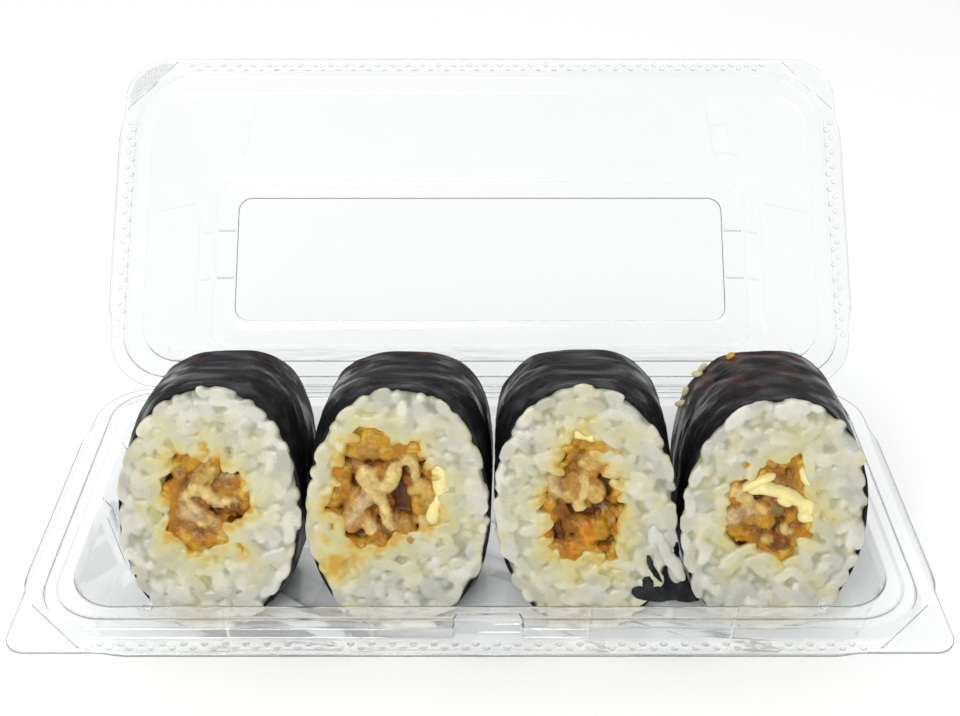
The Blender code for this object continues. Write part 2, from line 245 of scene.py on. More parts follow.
def clear_sheet_material():
    """Clear thin plastic: glass-like, faintly grey, with the slow waviness of a drawn sheet."""
    made, tree, shader = new_material("clear_sheet")
    set_sockets(shader, {
        "Base Color": CLEAR_TINT,
        "Roughness": 0.04,
        "IOR": 1.5,
        "Transmission Weight": 0.95,
    })
    waves = node(tree, "ShaderNodeTexNoise", Scale=60, Detail=2)
    place = node(tree, "ShaderNodeTexCoord")
    bump = node(tree, "ShaderNodeBump", Strength=0.12, Distance=0.001)
    tree.links.new(place.outputs["Object"], waves.inputs["Vector"])
    tree.links.new(waves.outputs["Fac"], bump.inputs["Height"])
    tree.links.new(bump.outputs["Normal"], shader.inputs["Normal"])
    through = node(tree, "ShaderNodeBsdfTransparent", Color=CLEAR_TINT)
    path = node(tree, "ShaderNodeLightPath")
    either = node(tree, "ShaderNodeMath", operation="MAXIMUM")
    mix = node(tree, "ShaderNodeMixShader")
    # Light and shadow pass straight through the sheet, as they do through one so thin.
    tree.links.new(path.outputs["Is Shadow Ray"], either.inputs[0])
    tree.links.new(path.outputs["Is Diffuse Ray"], either.inputs[1])
    tree.links.new(either.outputs[0], mix.inputs["Fac"])
    tree.links.new(shader.outputs[0], mix.inputs[1])
    tree.links.new(through.outputs[0], mix.inputs[2])
    tree.links.new(mix.outputs[0], tree.nodes["Material Output"].inputs["Surface"])
    return made


clear_sheet = clear_sheet_material()
# A row of a profile: inset in front, at the sides and behind, corner radius in front and behind, level,
# and the shares of the skirt, the notch and the flutes.
tray_profile = np.array([
    (0, 0, 0.3, 5, 14, TRAY_HEIGHT, 1, 0, 0),
    (0.6, 0.6, 0.9, 4.7, 13.7, TRAY_HEIGHT, 0, 0, 0),
    (4.2, 4.2, 4.2, 16, 12, TRAY_HEIGHT, 0, 1, 0),
    (4.9, 4.9, 4.9, 15.3, 11.3, TRAY_HEIGHT + 2.4, 0, 1, 0),
    (8.0, 7.4, 7.4, 13, 10.6, TRAY_HEIGHT + 2.4, 0, 1, 0),
    (8.6, 8.0, 8.0, 12.6, 10.3, TRAY_HEIGHT + 1.6, 0, 1, 0),
    (12.8, 10.5, 10.5, 12, 10, TRAY_HEIGHT + 1.6, 0, 0, 0),
    (13.7, 11.4, 11.4, 11.5, 9.5, TRAY_HEIGHT - 1.2, 0, 0, 1),
    (16.3, 13.5, 13.5, 10, 9, 2.6, 0, 0, 1),
    (18.3, 15.5, 15.5, 8.5, 8, 0.5, 0, 0, 0),
])
tray_form = formed_sheet(tray_profile, -SKIRT_TURN, FLUTES, True)
tray = add_piece("tray_sheet", tray_form, "tray", clear_sheet)
thicken(tray, SHEET)
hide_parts("tray")

# Formed in the same sheet: beads in two staggered rows along the flange, which keep the shut halves
# from sliding, a stippled grip at each front corner behind a low rib, and two pips that lock the lid.
FLANGE_RUN = 86
BEAD_RADIUS = 0.85
BEAD_PITCH = 4.6
BEAD_INSETS = (1.5, 2.7)
BEAD_AROUND = 12
STIPPLE_PITCH = 0.75
STIPPLE_REACH = 24
STIPPLE_MARGIN = 1.2
STIPPLE_WIDTH = 0.42 * STIPPLE_PITCH
CLEAR_OF_RIB = 12
RIB_WIDTH = 0.5
RIB_HEIGHT = 0.2
STIPPLE_SINK = 0.05
PIP_PLACES = ((-75, -37.6), (78, -37.6))
PIP_LEVEL = TRAY_HEIGHT + 1.6
PIP_RADIUS = 1.3
PIP_HEIGHT = 0.7
TRAY_BEAD_HEIGHT = 0.15
TRAY_STIPPLE = 0.05
TRAY_CORNER = 5
TRAY_GRIP = ((-101.9, -35.5), (-88.2, -48.6))
INTO_SHEET = 0.12


def add_dome(bm, center, radius, height, up):
    """A low round bead that starts a little inside the sheet, in millimetres."""
    rings = []
    for share, rise in ((1, -INTO_SHEET), (1, 0), (0.86, 0.5), (0.55, 0.84)):
        ring = []
        for step in range(BEAD_AROUND):
            angle = 2 * math.pi * step / BEAD_AROUND
            level = center[2] + up * (rise * height if rise > 0 else rise)
            x = center[0] + radius * share * math.cos(angle)
            ring.append(bm.verts.new(Vector((x, center[1] + radius * share * math.sin(angle), level)) * MM))
        rings.append(ring)
    top = bm.verts.new(Vector((center[0], center[1], center[2] + up * height)) * MM)
    bm.faces.new(rings[0][::-up])
    for near, far in zip(rings, rings[1:]):
        for i in range(BEAD_AROUND):
            j = (i + 1) % BEAD_AROUND
            bm.faces.new((near[i], near[j], far[j], far[i])[::up])
    for i in range(BEAD_AROUND):
        bm.faces.new((rings[-1][i], rings[-1][(i + 1) % BEAD_AROUND], top)[::up])


def add_block(bm, start, end, width, low, high):
    """A straight bar with sloped sides on the sheet from start to end, in millimetres."""
    along = Vector((end[0] - start[0], end[1] - start[1], 0)).normalized()
    side = Vector((-along.y, along.x, 0))
    rows = []
    for level, share in ((low, 1), (high, 0.5)):
        row = []
        for place, way in ((start, -1), (end, -1), (end, 1), (start, 1)):
            spot = Vector((place[0], place[1], level)) + side * way * width / 2 * share
            row.append(bm.verts.new(spot * MM))
        rows.append(row)
    bm.faces.new(rows[0][::-1])
    bm.faces.new(rows[1])
    for i in range(4):
        j = (i + 1) % 4
        bm.faces.new((rows[0][i], rows[0][j], rows[1][j], rows[1][i]))


def add_grip(bm, grip, mirrored, level, up, corner_radius, stipple):
    """A corner's rib, and its field of small points between the rib and the corner's outline."""
    way = -1 if mirrored else 1
    (ax, ay), (bx, by) = grip
    ends = [(way * ax, ay), (way * bx, by)]
    add_block(bm, *ends, RIB_WIDTH, level - up * INTO_SHEET, level + up * RIB_HEIGHT)
    if not stipple:
        return
    half_width = BOX_WIDTH / 2 / MM
    half_depth = BOX_DEPTH / 2 / MM
    steps = int(STIPPLE_REACH / STIPPLE_PITCH)
    for row in range(steps * 2):
        for column in range(steps):
            x = -half_width + (column + row % 2 / 2) * STIPPLE_PITCH
            y = -half_depth + row / 2 * STIPPLE_PITCH
            past_rib = (x - ax) * (ay - by) + (y - ay) * (bx - ax)
            inside = min(x + half_width, y + half_depth) > STIPPLE_MARGIN
            from_side = min(0, x + half_width - corner_radius)
            from_front = min(0, y + half_depth - corner_radius)
            rounded_off = math.hypot(from_side, from_front) > corner_radius - STIPPLE_MARGIN
            if past_rib > -CLEAR_OF_RIB or not inside or rounded_off:
                continue
            middle = Vector((way * x, y, level))
            foot = middle - Vector((0, 0, up * STIPPLE_SINK))
            ways = [(1, 0), (0, 1), (-1, 0), (0, -1)]
            feet = [bm.verts.new((foot + Vector((*turn, 0)) * STIPPLE_WIDTH) * MM) for turn in ways]
            tip = bm.verts.new((middle + Vector((0, 0, up * stipple))) * MM)
            bm.faces.new(feet[::-1])
            for i in range(4):
                bm.faces.new((feet[i], feet[(i + 1) % 4], tip))


def edge_beads(bm, level, height, up, front_run, side_run):
    """Two staggered rows of beads along the front flange, and along the sides where they run there."""
    half_width = BOX_WIDTH / 2 / MM
    half_depth = BOX_DEPTH / 2 / MM
    for row, inset in enumerate(BEAD_INSETS):
        shift = row * BEAD_PITCH / 2
        for place in np.arange(-front_run + shift, front_run, BEAD_PITCH):
            add_dome(bm, (place, inset - half_depth, level), BEAD_RADIUS, height, up)
        for way in (-1, 1) if side_run else ():
            for place in np.arange(side_run[0] + shift, side_run[1], BEAD_PITCH):
                add_dome(bm, (way * (half_width - inset), place, level), BEAD_RADIUS, height, up)


def formed_details(name, bm, body, to_place=None):
    """Details in the sheet as one named piece of it, carried to their place."""
    bmesh.ops.recalc_face_normals(bm, faces=bm.faces)
    if to_place:
        bm.transform(to_place)
    return add_piece(name, bm, body, clear_sheet, 40)


beads = bmesh.new()
edge_beads(beads, TRAY_HEIGHT, TRAY_BEAD_HEIGHT, 1, FLANGE_RUN, None)
formed_details("tray_flange_beads", beads, "tray")
grips = bmesh.new()
for mirrored in (False, True):
    add_grip(grips, TRAY_GRIP, mirrored, TRAY_HEIGHT, 1, TRAY_CORNER, TRAY_STIPPLE)
formed_details("tray_corner_grips", grips, "tray")
pips = bmesh.new()
for x, y in PIP_PLACES:
    add_dome(pips, (x, y, PIP_LEVEL), PIP_RADIUS, PIP_HEIGHT, 1)
formed_details("tray_locking_pips", pips, "tray")

# The lid: the upper half of the same sheet, deeper than the tray, with a step round its mouth and a
# sunk panel in its crown. It is drawn shut over the tray and turned open on the crease.
LID_HEIGHT = 46
STEP_HEIGHT = 3.0
CREASE = Vector((0, BOX_DEPTH / 2, (TRAY_HEIGHT + 0.15) * MM))
LID_ANGLE = math.radians(136.5)
LID_PLAIN = {edge: [(0, 4 * MM, MM)] for edge in ("front", "side", "back")}
lid_profile = np.array([
    (0, 0, 0.3, 12.5, 14, 0, 1, 0, 0),
    (0.6, 0.6, 0.9, 12.2, 13.7, 0, 0, 0, 0),
    (3.4, 3.4, 3.4, 16.8, 12.8, 0, 0, 0, 0),
    (4.1, 4.1, 4.1, 16.1, 12.1, STEP_HEIGHT, 0, 0, 0),
    (10.0, 7.6, 8.4, 13, 11, STEP_HEIGHT, 0, 0, 0),
    (10.5, 8.1, 8.9, 12.6, 10.6, STEP_HEIGHT + 1.3, 0, 0, 0),
    (20.7, 18.2, 21.6, 7, 7, LID_HEIGHT - 1.7, 0, 0, 0),
    (22.0, 19.5, 22.9, 6, 6, LID_HEIGHT, 0, 0, 0),
    (27.0, 25.4, 30.1, 5, 5, LID_HEIGHT, 0, 0, 0),
    (27.7, 26.1, 30.8, 4.5, 4.5, LID_HEIGHT - 1.2, 0, 0, 0),
])
lid_shut = Matrix.Translation((0, -CREASE.y, 0.15 * MM))
lid_opened = Matrix.Translation(CREASE) @ Matrix.Rotation(-LID_ANGLE, 4, "X") @ lid_shut
lid_form = formed_sheet(lid_profile, SKIRT_TURN, LID_PLAIN, False, lid_opened)
lid = add_piece("lid_sheet", lid_form, "lid", clear_sheet)
thicken(lid, SHEET)
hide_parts("lid")

# Formed in the lid's sheet: beads on the flange that match the tray's, a rib at each free corner with a
# stippled grip at one of them, and low bars that stiffen the channel round the crown at both ends.
LID_GRIP = ((-104.3, -33.9), (-90.0, -49.3))
LUG_RUN = (79.9, 85.2)
LUG_ROWS = (-11.7, 4.3)
LUG_WIDTH = 1.1
LUG_LEVELS = (LID_HEIGHT + 0.1, LID_HEIGHT - 0.6)
LID_SIDE_RUN = (-30, 36)
LID_OUTER = SHEET / MM
LID_BEAD_HEIGHT = 0.18
LID_STIPPLE = 0.1
LID_CORNER = 12.5
lid_beads = bmesh.new()
edge_beads(lid_beads, LID_OUTER, LID_BEAD_HEIGHT, 1, FLANGE_RUN, LID_SIDE_RUN)
formed_details("lid_flange_beads", lid_beads, "lid", lid_opened)
lid_grips = bmesh.new()
for mirrored in (False, True):
    stipple = 0 if mirrored else LID_STIPPLE
    add_grip(lid_grips, LID_GRIP, mirrored, LID_OUTER, 1, LID_CORNER, stipple)
formed_details("lid_corner_grips", lid_grips, "lid", lid_opened)
lugs = bmesh.new()
for way in (-1, 1):
    for y in LUG_ROWS:
        add_block(lugs, (way * LUG_RUN[0], y), (way * LUG_RUN[1], y), LUG_WIDTH, *LUG_LEVELS)
formed_details("lid_crown_lugs", lugs, "lid", lid_opened)

# The crease: the sheet runs on from the tray to the lid along the back edge. It is pressed thin there,
# so that it folds like a hinge.
CREASE_REACH = 88 * MM
CREASE_SHEET = 0.22 * MM
CREASE_ROWS = 9
CREASE_COLUMNS = 45
CREASE_LAP = 0.9 * MM
CREASE_SINK = 0.12 * MM


def crease_strip():
    """A strip that curves from the tray's flange up into the open lid's flange."""
    away = Vector((0, math.cos(math.pi - LID_ANGLE), math.sin(math.pi - LID_ANGLE)))
    start = Vector((0, BOX_DEPTH / 2 - CREASE_LAP, TRAY_HEIGHT * MM - CREASE_SINK))
    end = CREASE + away * CREASE_LAP - Vector((0, -away.z, away.y)) * CREASE_SINK
    middle = CREASE + Vector((0, 0.05 * MM, -CREASE_SINK))
    bm = bmesh.new()
    rows = []
    for row in range(CREASE_ROWS):
        share = row / (CREASE_ROWS - 1)
        spot = start * (1 - share) ** 2 + middle * 2 * share * (1 - share) + end * share ** 2
        line = np.linspace(-CREASE_REACH, CREASE_REACH, CREASE_COLUMNS)
        rows.append([bm.verts.new((x, spot.y, spot.z)) for x in line])
    for near, far in zip(rows, rows[1:]):
        for i in range(CREASE_COLUMNS - 1):
            bm.faces.new((near[i], near[i + 1], far[i + 1], far[i]))
    bmesh.ops.solidify(bm, geom=bm.faces[:], thickness=CREASE_SHEET)
    bmesh.ops.recalc_face_normals(bm, faces=bm.faces)
    strip = in_scene("lid_crease_strip", finished_mesh("lid_crease_strip", bm), clear_sheet)
    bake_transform(strip)


crease_strip()

# The seaweed: a toasted sheet wrapped once round each roll and cut with it. It is near black, damp
# from the rice under it, and has dried in fine wrinkles with wavy cut edges.
FACE_FOOT_Y = -26.6
FACE_LEAN = math.radians(14)
FLOOR_LEVEL = 0.8
# The rolls in millimetres: hole is the core of the filling, and opening is where the cut shows it.
ROLLS = [
    {
        "number": 1, "x": -63.1, "width": 43.2, "height": 63.4, "length": 26.0,
        "yaw": math.radians(2.2), "fall": math.radians(14), "skew": 0.06, "squareness": 2.0,
        "back_squareness": 2.8,
        "hole": (-1.9, 34.0), "hole_size": (9.4, 16.2),
        "opening": (-1.4, 34.2), "opening_size": (9.6, 12.8),
    },
    {
        "number": 2, "x": -19.1, "width": 43.4, "height": 63.0, "length": 26.0,
        "yaw": math.radians(2.2), "fall": math.radians(14), "skew": 0.02, "squareness": 2.0,
        "back_squareness": 3.0,
        "hole": (-3.3, 34.2), "hole_size": (14.2, 17.0),
        "opening": (-3.6, 36.6), "opening_size": (12.6, 14.0),
    },
    {
        "number": 3, "x": 24.7, "width": 42.9, "height": 63.6, "length": 26.0,
        "yaw": math.radians(1.6), "fall": math.radians(14), "skew": -0.05, "squareness": 2.05,
        "back_squareness": 3.0,
        "hole": (0.2, 33.4), "hole_size": (10.6, 20.6),
        "opening": (-0.8, 33.4), "opening_size": (9.3, 15.8),
    },
    {
        "number": 4, "x": 68.8, "width": 43.9, "height": 60.2, "length": 30.0,
        "yaw": math.radians(1.0), "fall": math.radians(10.5), "skew": 0.0, "squareness": 2.2,
        "back_squareness": 2.5,
        "hole": (0.6, 33.0), "hole_size": (12.2, 15.4),
        "opening": (-0.8, 32.4), "opening_size": (10.6, 12.2),
    },
]
SQUARED_BY = 9
NORI_AROUND = 220
NORI_ROWS = 60
NORI_INNER_ROWS = 6
NORI_THICKNESS = 0.3
NORI_SETBACK = 0.9
NORI_DARK = np.array((0.003, 0.003, 0.0035))
# The pale grey of the sheet's own streaks, and of the sheen painted on its upper flanks.
NORI_STREAK_AND_SHEEN = np.array((0.030, 0.031, 0.033))
NORI_BROWN = np.array((0.060, 0.015, 0.012))
# How much red-brown each roll shows towards its back.
BROWN_SHARE = {1: 0.04, 2: 0.06, 3: -0.1, 4: 0.34}


def power(value, exponent):
    """The value to an exponent, with its sign kept."""
    return np.sign(value) * np.abs(value) ** exponent


def squareness(roll, w):
    """How square the section is: rounder at the cut that faces forward than behind it."""
    more = roll["back_squareness"] - roll["squareness"]
    return roll["squareness"] + more * np.clip(w / SQUARED_BY, 0, 1)


def outer_uv(roll, angle, w, inward):
    """Points on the roll's outline w behind the face, moved inward from the seaweed's outer face."""
    turn = roll["number"] * 1.7
    grow = 1 + 0.006 * np.sin(3 * angle + turn) + 0.005 * np.sin(5 * angle + 2.3 * turn)
    exponent = 2 / squareness(roll, w)
    half_width = roll["width"] / 2 / 1.011 - inward
    half_height = roll["height"] / 2 - inward
    u = half_width * grow * power(np.cos(angle), exponent)
    return u, roll["height"] / 2 + half_height * power(np.sin(angle), exponent)


def placed(roll, u, v, w, clearance=0.0):
    """Places in metres of points u right, v up the face and w behind it, kept off the tray's floor."""
    x = roll["x"] + u + roll["skew"] * (v - roll["height"] / 2) + w * math.sin(roll["yaw"])
    y = FACE_FOOT_Y + v * math.sin(FACE_LEAN) + w * math.cos(roll["fall"])
    z = FLOOR_LEVEL + v * math.cos(FACE_LEAN) - w * math.sin(roll["fall"])
    return np.stack((x, y, np.maximum(z, FLOOR_LEVEL + clearance)), axis=-1) * MM


def noise_at(points, seed):
    """Smooth noise between about -1 and 1 at each of some points."""
    return np.array([noise.noise(Vector(point) + Vector((seed, 0, 0))) for point in points])


def mesh_piece(name, points, faces, body, finish, smooth_angle=180):
    """A piece from points and faces, shaded smooth except over its sharp edges."""
    mesh = bpy.data.meshes.new(name)
    mesh.from_pydata(points.tolist(), [], faces)
    mesh.update()
    piece = in_scene(name, mesh, finish, smooth_angle)
    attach(piece, body)
    return piece


def tube_faces(rows, around, closed):
    """Quads between rows of points that go round a tube; closed joins the last row to the first."""
    faces = []
    for row in range(rows if closed else rows - 1):
        near = row * around
        far = (row + 1) % rows * around
        for i in range(around):
            j = (i + 1) % around
            faces.append((near + i, near + j, far + j, far + i))
    return faces


def seaweed_looks(roll, angle, ring, share):
    """The colour, with painted light on it, and the shine of the sheet at each point of a ring, share of
    the way to the back.
    """
    seed = roll["number"]
    up = np.clip(np.sin(angle), 0, 1)
    flank = up * (1 - 0.75 * np.exp(-((angle - math.pi / 2) / 0.45) ** 2))
    streak = 1.3 * noise_at(ring / (3.4, 3.4, 1.1), 71 + seed) + 1.7 * noise_at(ring / (8, 8, 5), 83 + seed)
    fine = np.clip(2.2 * noise_at(ring / (1.5, 1.5, 0.8), 87 + seed), 0, 1)
    streak = np.clip(streak + 0.4 * fine - 0.1, 0, 1)
    # Painted light: paler where the sheet faces up, and a painted sheen of pale streaks on its upper flanks
    # that is strongest near the front cut; the streaks and fibres are the sheet's own.
    pale = np.clip(0.13 * up + streak * (0.1 + 0.9 * flank) * (1 - 0.4 * share) + 0.1 * fine, 0, 1)
    brown = noise_at(ring / (4.5, 4.5, 3), 91 + seed) + 0.5 * noise_at(ring / 1.6, 95)
    brown = np.clip(5 * (brown - 0.35 + BROWN_SHARE[seed]), 0, 1) * np.clip(2.2 * up - 1.1, 0, 1) * share
    tint = NORI_DARK + (NORI_STREAK_AND_SHEEN - NORI_DARK) * pale[:, None]
    tint = tint + (NORI_BROWN - tint) * brown[:, None]
    shine = 0.05 + 1.1 * noise_at(ring / (7, 7, 3), 97 + seed) + 0.35 * streak * (0.3 + flank)
    return tint, np.clip(shine, 0, 0.7)


def keep_numbers(piece, name, kind, field, values):
    """Keeps a value for each point of the mesh, which its material reads by name."""
    layer = piece.data.attributes.new(name, kind, "POINT")
    layer.data.foreach_set(field, np.ascontiguousarray(values, dtype=np.float32).ravel())


def paint(piece, tint):
    """Keeps a colour for each point of the mesh, which its material reads as tint."""
    keep_numbers(piece, "tint", "FLOAT_COLOR", "color", np.column_stack((tint, np.ones(len(tint)))))


def nori_sheet(roll, finish):
    """The sheet round a roll: its wrinkled outer face, and a plain inner face against the rice."""
    angle = np.linspace(0, 2 * math.pi, NORI_AROUND, endpoint=False)
    radius = (roll["width"] + roll["height"]) / 4
    edge = np.stack((np.cos(angle), np.sin(angle), np.zeros_like(angle)), axis=-1)
    front = NORI_SETBACK + 0.35 * noise_at(edge * 5, roll["number"]) + 0.2 * noise_at(edge * 16, 9)
    back = roll["length"] - NORI_SETBACK + 0.35 * noise_at(edge * 5, roll["number"] + 40)
    rows = []
    tints = []
    shines = []
    for share in np.linspace(0, 1, NORI_ROWS):
        w = front + (back - front) * share
        ring = np.stack((np.cos(angle) * radius, np.sin(angle) * radius, w), axis=-1)
        swell = 0.42 * noise_at(ring / (10, 10, 14), 3 * roll["number"])
        patchy = np.clip(0.5 + 1.5 * noise_at(ring / (8, 8, 7), 57 + roll["number"]), 0.1, 1.6)
        wrinkle = 0.24 * noise_at(ring / (4.0, 4.0, 2.4), 5 * roll["number"])
        wrinkle += 0.15 * noise_at(ring / (2.0, 2.0, 1.0), 7 * roll["number"])
        u, v = outer_uv(roll, angle, w, 0.25 - swell - wrinkle * patchy)
        rows.append(placed(roll, u, v, w))
        tint, shine = seaweed_looks(roll, angle, ring, share)
        tints.append(tint)
        shines.append(shine)
    for share in np.linspace(1, 0, NORI_INNER_ROWS):
        w = front + (back - front) * share
        u, v = outer_uv(roll, angle, w, 0.25 + 0.35 + NORI_THICKNESS)
        rows.append(placed(roll, u, v, w, NORI_THICKNESS))
        tints.append(np.tile(NORI_DARK, (NORI_AROUND, 1)))
        shines.append(np.zeros(NORI_AROUND))
    faces = tube_faces(len(rows), NORI_AROUND, closed=True)
    piece = mesh_piece(
        f"seaweed_sheet_{roll['number']}", np.concatenate(rows), faces, "tray", finish, 70
    )
    paint(piece, np.concatenate(tints))
    keep_numbers(piece, "shine", "FLOAT", "value", np.concatenate(shines))
    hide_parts(f"nori_{roll['number']}")


def fine_grain_group():
    """A node group that makes a tint uneven with fine noise, and raises the same noise as relief."""
    group = bpy.data.node_groups.new("fine_grain", "ShaderNodeTree")
    group.interface.new_socket("Tint", in_out="INPUT", socket_type="NodeSocketColor")
    group.interface.new_socket("Place", in_out="INPUT", socket_type="NodeSocketVector")
    for name in ("Scale", "Detail", "Roughness", "Low", "High", "Darkest", "Lightest", "Relief", "Height"):
        group.interface.new_socket(name, in_out="INPUT", socket_type="NodeSocketFloat")
    group.interface.new_socket("Color", in_out="OUTPUT", socket_type="NodeSocketColor")
    group.interface.new_socket("Normal", in_out="OUTPUT", socket_type="NodeSocketVector")
    given = node(group, "NodeGroupInput")
    grains = node(group, "ShaderNodeTexNoise")
    value = node(group, "ShaderNodeMapRange")
    vary = node(group, "ShaderNodeHueSaturation")
    bump = node(group, "ShaderNodeBump")
    result = node(group, "NodeGroupOutput")
    links = (
        (given, "Place", grains, "Vector"),
        (given, "Scale", grains, "Scale"),
        (given, "Detail", grains, "Detail"),
        (given, "Roughness", grains, "Roughness"),
        (grains, "Fac", value, "Value"),
        (given, "Low", value, "From Min"),
        (given, "High", value, "From Max"),
        (given, "Darkest", value, "To Min"),
        (given, "Lightest", value, "To Max"),
        (value, "Result", vary, "Value"),
        (given, "Tint", vary, "Color"),
        (grains, "Fac", bump, "Height"),
        (given, "Relief", bump, "Strength"),
        (given, "Height", bump, "Distance"),
        (vary, "Color", result, "Color"),
        (bump, "Normal", result, "Normal"),
    )
    for source, output, target, socket in links:
        group.links.new(source.outputs[output], target.inputs[socket])
    return group


fine_grain = fine_grain_group()


def tinted_material(name, **grain_values):
    """A material in its mesh's own tint, with fine grain over it."""
    made, tree, shader = new_material(name)
    tint = node(tree, "ShaderNodeAttribute", attribute_name="tint")
    place = node(tree, "ShaderNodeTexCoord")
    uneven = node(tree, "ShaderNodeGroup", node_tree=fine_grain, **grain_values)
    tree.links.new(tint.outputs["Color"], uneven.inputs["Tint"])
    tree.links.new(place.outputs["Object"], uneven.inputs["Place"])
    tree.links.new(uneven.outputs["Color"], shader.inputs["Base Color"])
    tree.links.new(uneven.outputs["Normal"], shader.inputs["Normal"])
    return made, tree, shader


def seaweed_material():
    """Toasted seaweed: its streaks under a painted sheen, brown patches, fine pressed fibres and a patchy
    shine.
    """
    made, tree, shader = tinted_material(
        "toasted_seaweed", Scale=1400, Detail=4, Roughness=0.6, Low=0.3, High=0.7,
        Darkest=0.55, Lightest=1.6, Relief=0.4, Height=0.0002,
    )
    shine = node(tree, "ShaderNodeAttribute", attribute_name="shine")
    gloss = node(tree, "ShaderNodeMapRange")
    gloss.inputs["To Min"].default_value = 0.55
    gloss.inputs["To Max"].default_value = 0.30
    tree.links.new(shine.outputs["Fac"], gloss.inputs["Value"])
    tree.links.new(gloss.outputs["Result"], shader.inputs["Roughness"])
    tree.links.new(shine.outputs["Fac"], shader.inputs["Coat Weight"])
    set_sockets(shader, {"Specular IOR Level": 0.12, "Coat Roughness": 0.22, "Coat IOR": 1.4})
    return made


toasted_seaweed = seaweed_material()
for roll in ROLLS:
    nori_sheet(roll, toasted_seaweed)

# The rice: short sticky grains pressed into a ring round the filling and cut across at both ends.
# The grains are translucent and off-white, and take up yellow and orange from the filling.
GRAIN_LENGTH = (4.8, 6.8)
GRAIN_WIDTH = (2.8, 3.7)
GRAIN_THICKNESS = (2.3, 3.0)
GRAIN_AROUND = 12
GRAIN_ROWS = 9
RICE_CLEARANCE = 0.85
RICE_WHITE = np.array((0.64, 0.63, 0.55))
RICE_GREY = np.array((0.38, 0.385, 0.33))
RICE_TINGE = np.array((0.50, 0.465, 0.26))
RICE_YELLOW = np.array((0.56, 0.475, 0.15))
RICE_ORANGE = np.array((0.50, 0.275, 0.02))
CORE_AROUND = 120
RICE_VOXEL = 0.39
BACK_VOXEL = 0.62
KNIFE_SOFTNESS = 0.16
SLAB_DEPTH = 5.0
SLAB_LAP = 0.5
FRONT_CUT = {"back": False, "rim": 0.9, "apart": 1.9, "tries": 5000, "voxel": RICE_VOXEL}
BACK_CUT = {"back": True, "rim": 1.2, "apart": 2.3, "tries": 2500, "voxel": BACK_VOXEL}
GRAIN_DEPTH = (0.1, 0.95)
LYING_SHARE = 0.6
STAIN_REACH = 3.3
RIM_STAIN = {1: 1.0, 2: 1.1, 3: 0.95, 4: 0.7}
# A stain of the filling on the rice: right, up, reach and strength.
STAINS = {
    1: [
        (-1.0, 51, 4.4, 0.6), (0.8, 47.5, 5, 0.7), (7.6, 21, 3.0, 1.0), (-9.5, 27, 4.5, 0.9),
        (8.8, 34, 3, 0.5), (1, 20.5, 5, 0.7), (-14, 33, 3.2, 0.4),
    ],
    2: [
        (-14.5, 18, 5.0, 1.5), (-10.5, 20.5, 5, 1.1), (-17.4, 33, 4.2, 0.7), (11, 40, 5.5, 0.5),
        (-17, 25, 3.6, 0.9), (-3, 52, 6, 0.55), (9, 30, 5, 0.5), (-16, 41, 3.5, 0.5),
    ],
    3: [
        (-1, 51, 5, 0.55), (-5.0, 52.5, 2.0, 0.7), (11, 33, 3.2, 0.5), (5.4, 21, 3.5, 0.4),
        (-9.5, 26, 3, 0.6),
    ],
    4: [
        (8.6, 38, 4.5, 0.5), (12.5, 30, 4, 0.55), (-11.4, 25, 3.4, 0.6), (-14, 35.5, 3, 0.35),
        (10, 22, 3, 0.4),
    ],
}


def hole_uv(roll, angle, inward):
    """Points on the edge of the hole for the filling, moved inward from the rice."""
    seed = roll["number"]
    swell = 1 + 0.06 * np.sin(2 * angle + seed) + 0.05 * np.sin(3 * angle + 2 * seed)
    u = roll["hole"][0] + (roll["hole_size"][0] * swell - inward) * np.cos(angle)
    return u, roll["hole"][1] + (roll["hole_size"][1] * swell - inward) * np.sin(angle)


def ball(around, rows):
    """Points and outward faces of a grain-shaped unit ball, long along X."""
    points = [(-1.0, 0.0, 0.0)]
    for row in range(1, rows):
        x = -math.cos(math.pi * row / rows)
        reach = (1 - abs(x) ** 2.3) ** 0.46
        for step in range(around):
            angle = 2 * math.pi * step / around
            points.append((x, reach * math.cos(angle), reach * math.sin(angle)))
    points.append((1.0, 0.0, 0.0))
    last = len(points) - 1
    faces = []
    for step in range(around):
        after = (step + 1) % around
        faces.append((0, 1 + after, 1 + step))
        faces.append((last, last - around + step, last - around + after))
    for row in range(rows - 2):
        near = 1 + row * around
        for step in range(around):
            after = (step + 1) % around
            faces.append((near + step, near + after, near + around + after, near + around + step))
    return np.array(points), faces


GRAIN_POINTS, GRAIN_FACES = ball(GRAIN_AROUND, GRAIN_ROWS)


def grain(draw, place, spin, tip):
    """One grain's points in face axes (right, up, behind), bent a little and blunt at one end."""
    size = [draw.uniform(*span) / 2 for span in (GRAIN_LENGTH, GRAIN_WIDTH, GRAIN_THICKNESS)]
    points = GRAIN_POINTS * size
    share = GRAIN_POINTS[:, 0]
    points[:, 1] += draw.uniform(-0.35, 0.35) * (share ** 2 - 0.4)
    points[:, 1:] *= (1 - 0.12 * np.clip(share, 0, 1) ** 2)[:, None]
    turn = np.array(Matrix.Rotation(spin, 3, "Z") @ Matrix.Rotation(tip, 3, "Y")
                    @ Matrix.Rotation(draw.uniform(0, math.tau), 3, "X"))
    return points @ turn.T + place


def joined(parts):
    """The points, faces and tints of several parts, one after another."""
    points = np.concatenate([part[0] for part in parts])
    tints = np.concatenate([np.broadcast_to(part[2], (len(part[0]), 3)) for part in parts])
    faces = []
    start = 0
    for part_points, part_faces, _ in parts:
        faces += [tuple(start + index for index in face) for face in part_faces]
        start += len(part_points)
    return points, faces, tints


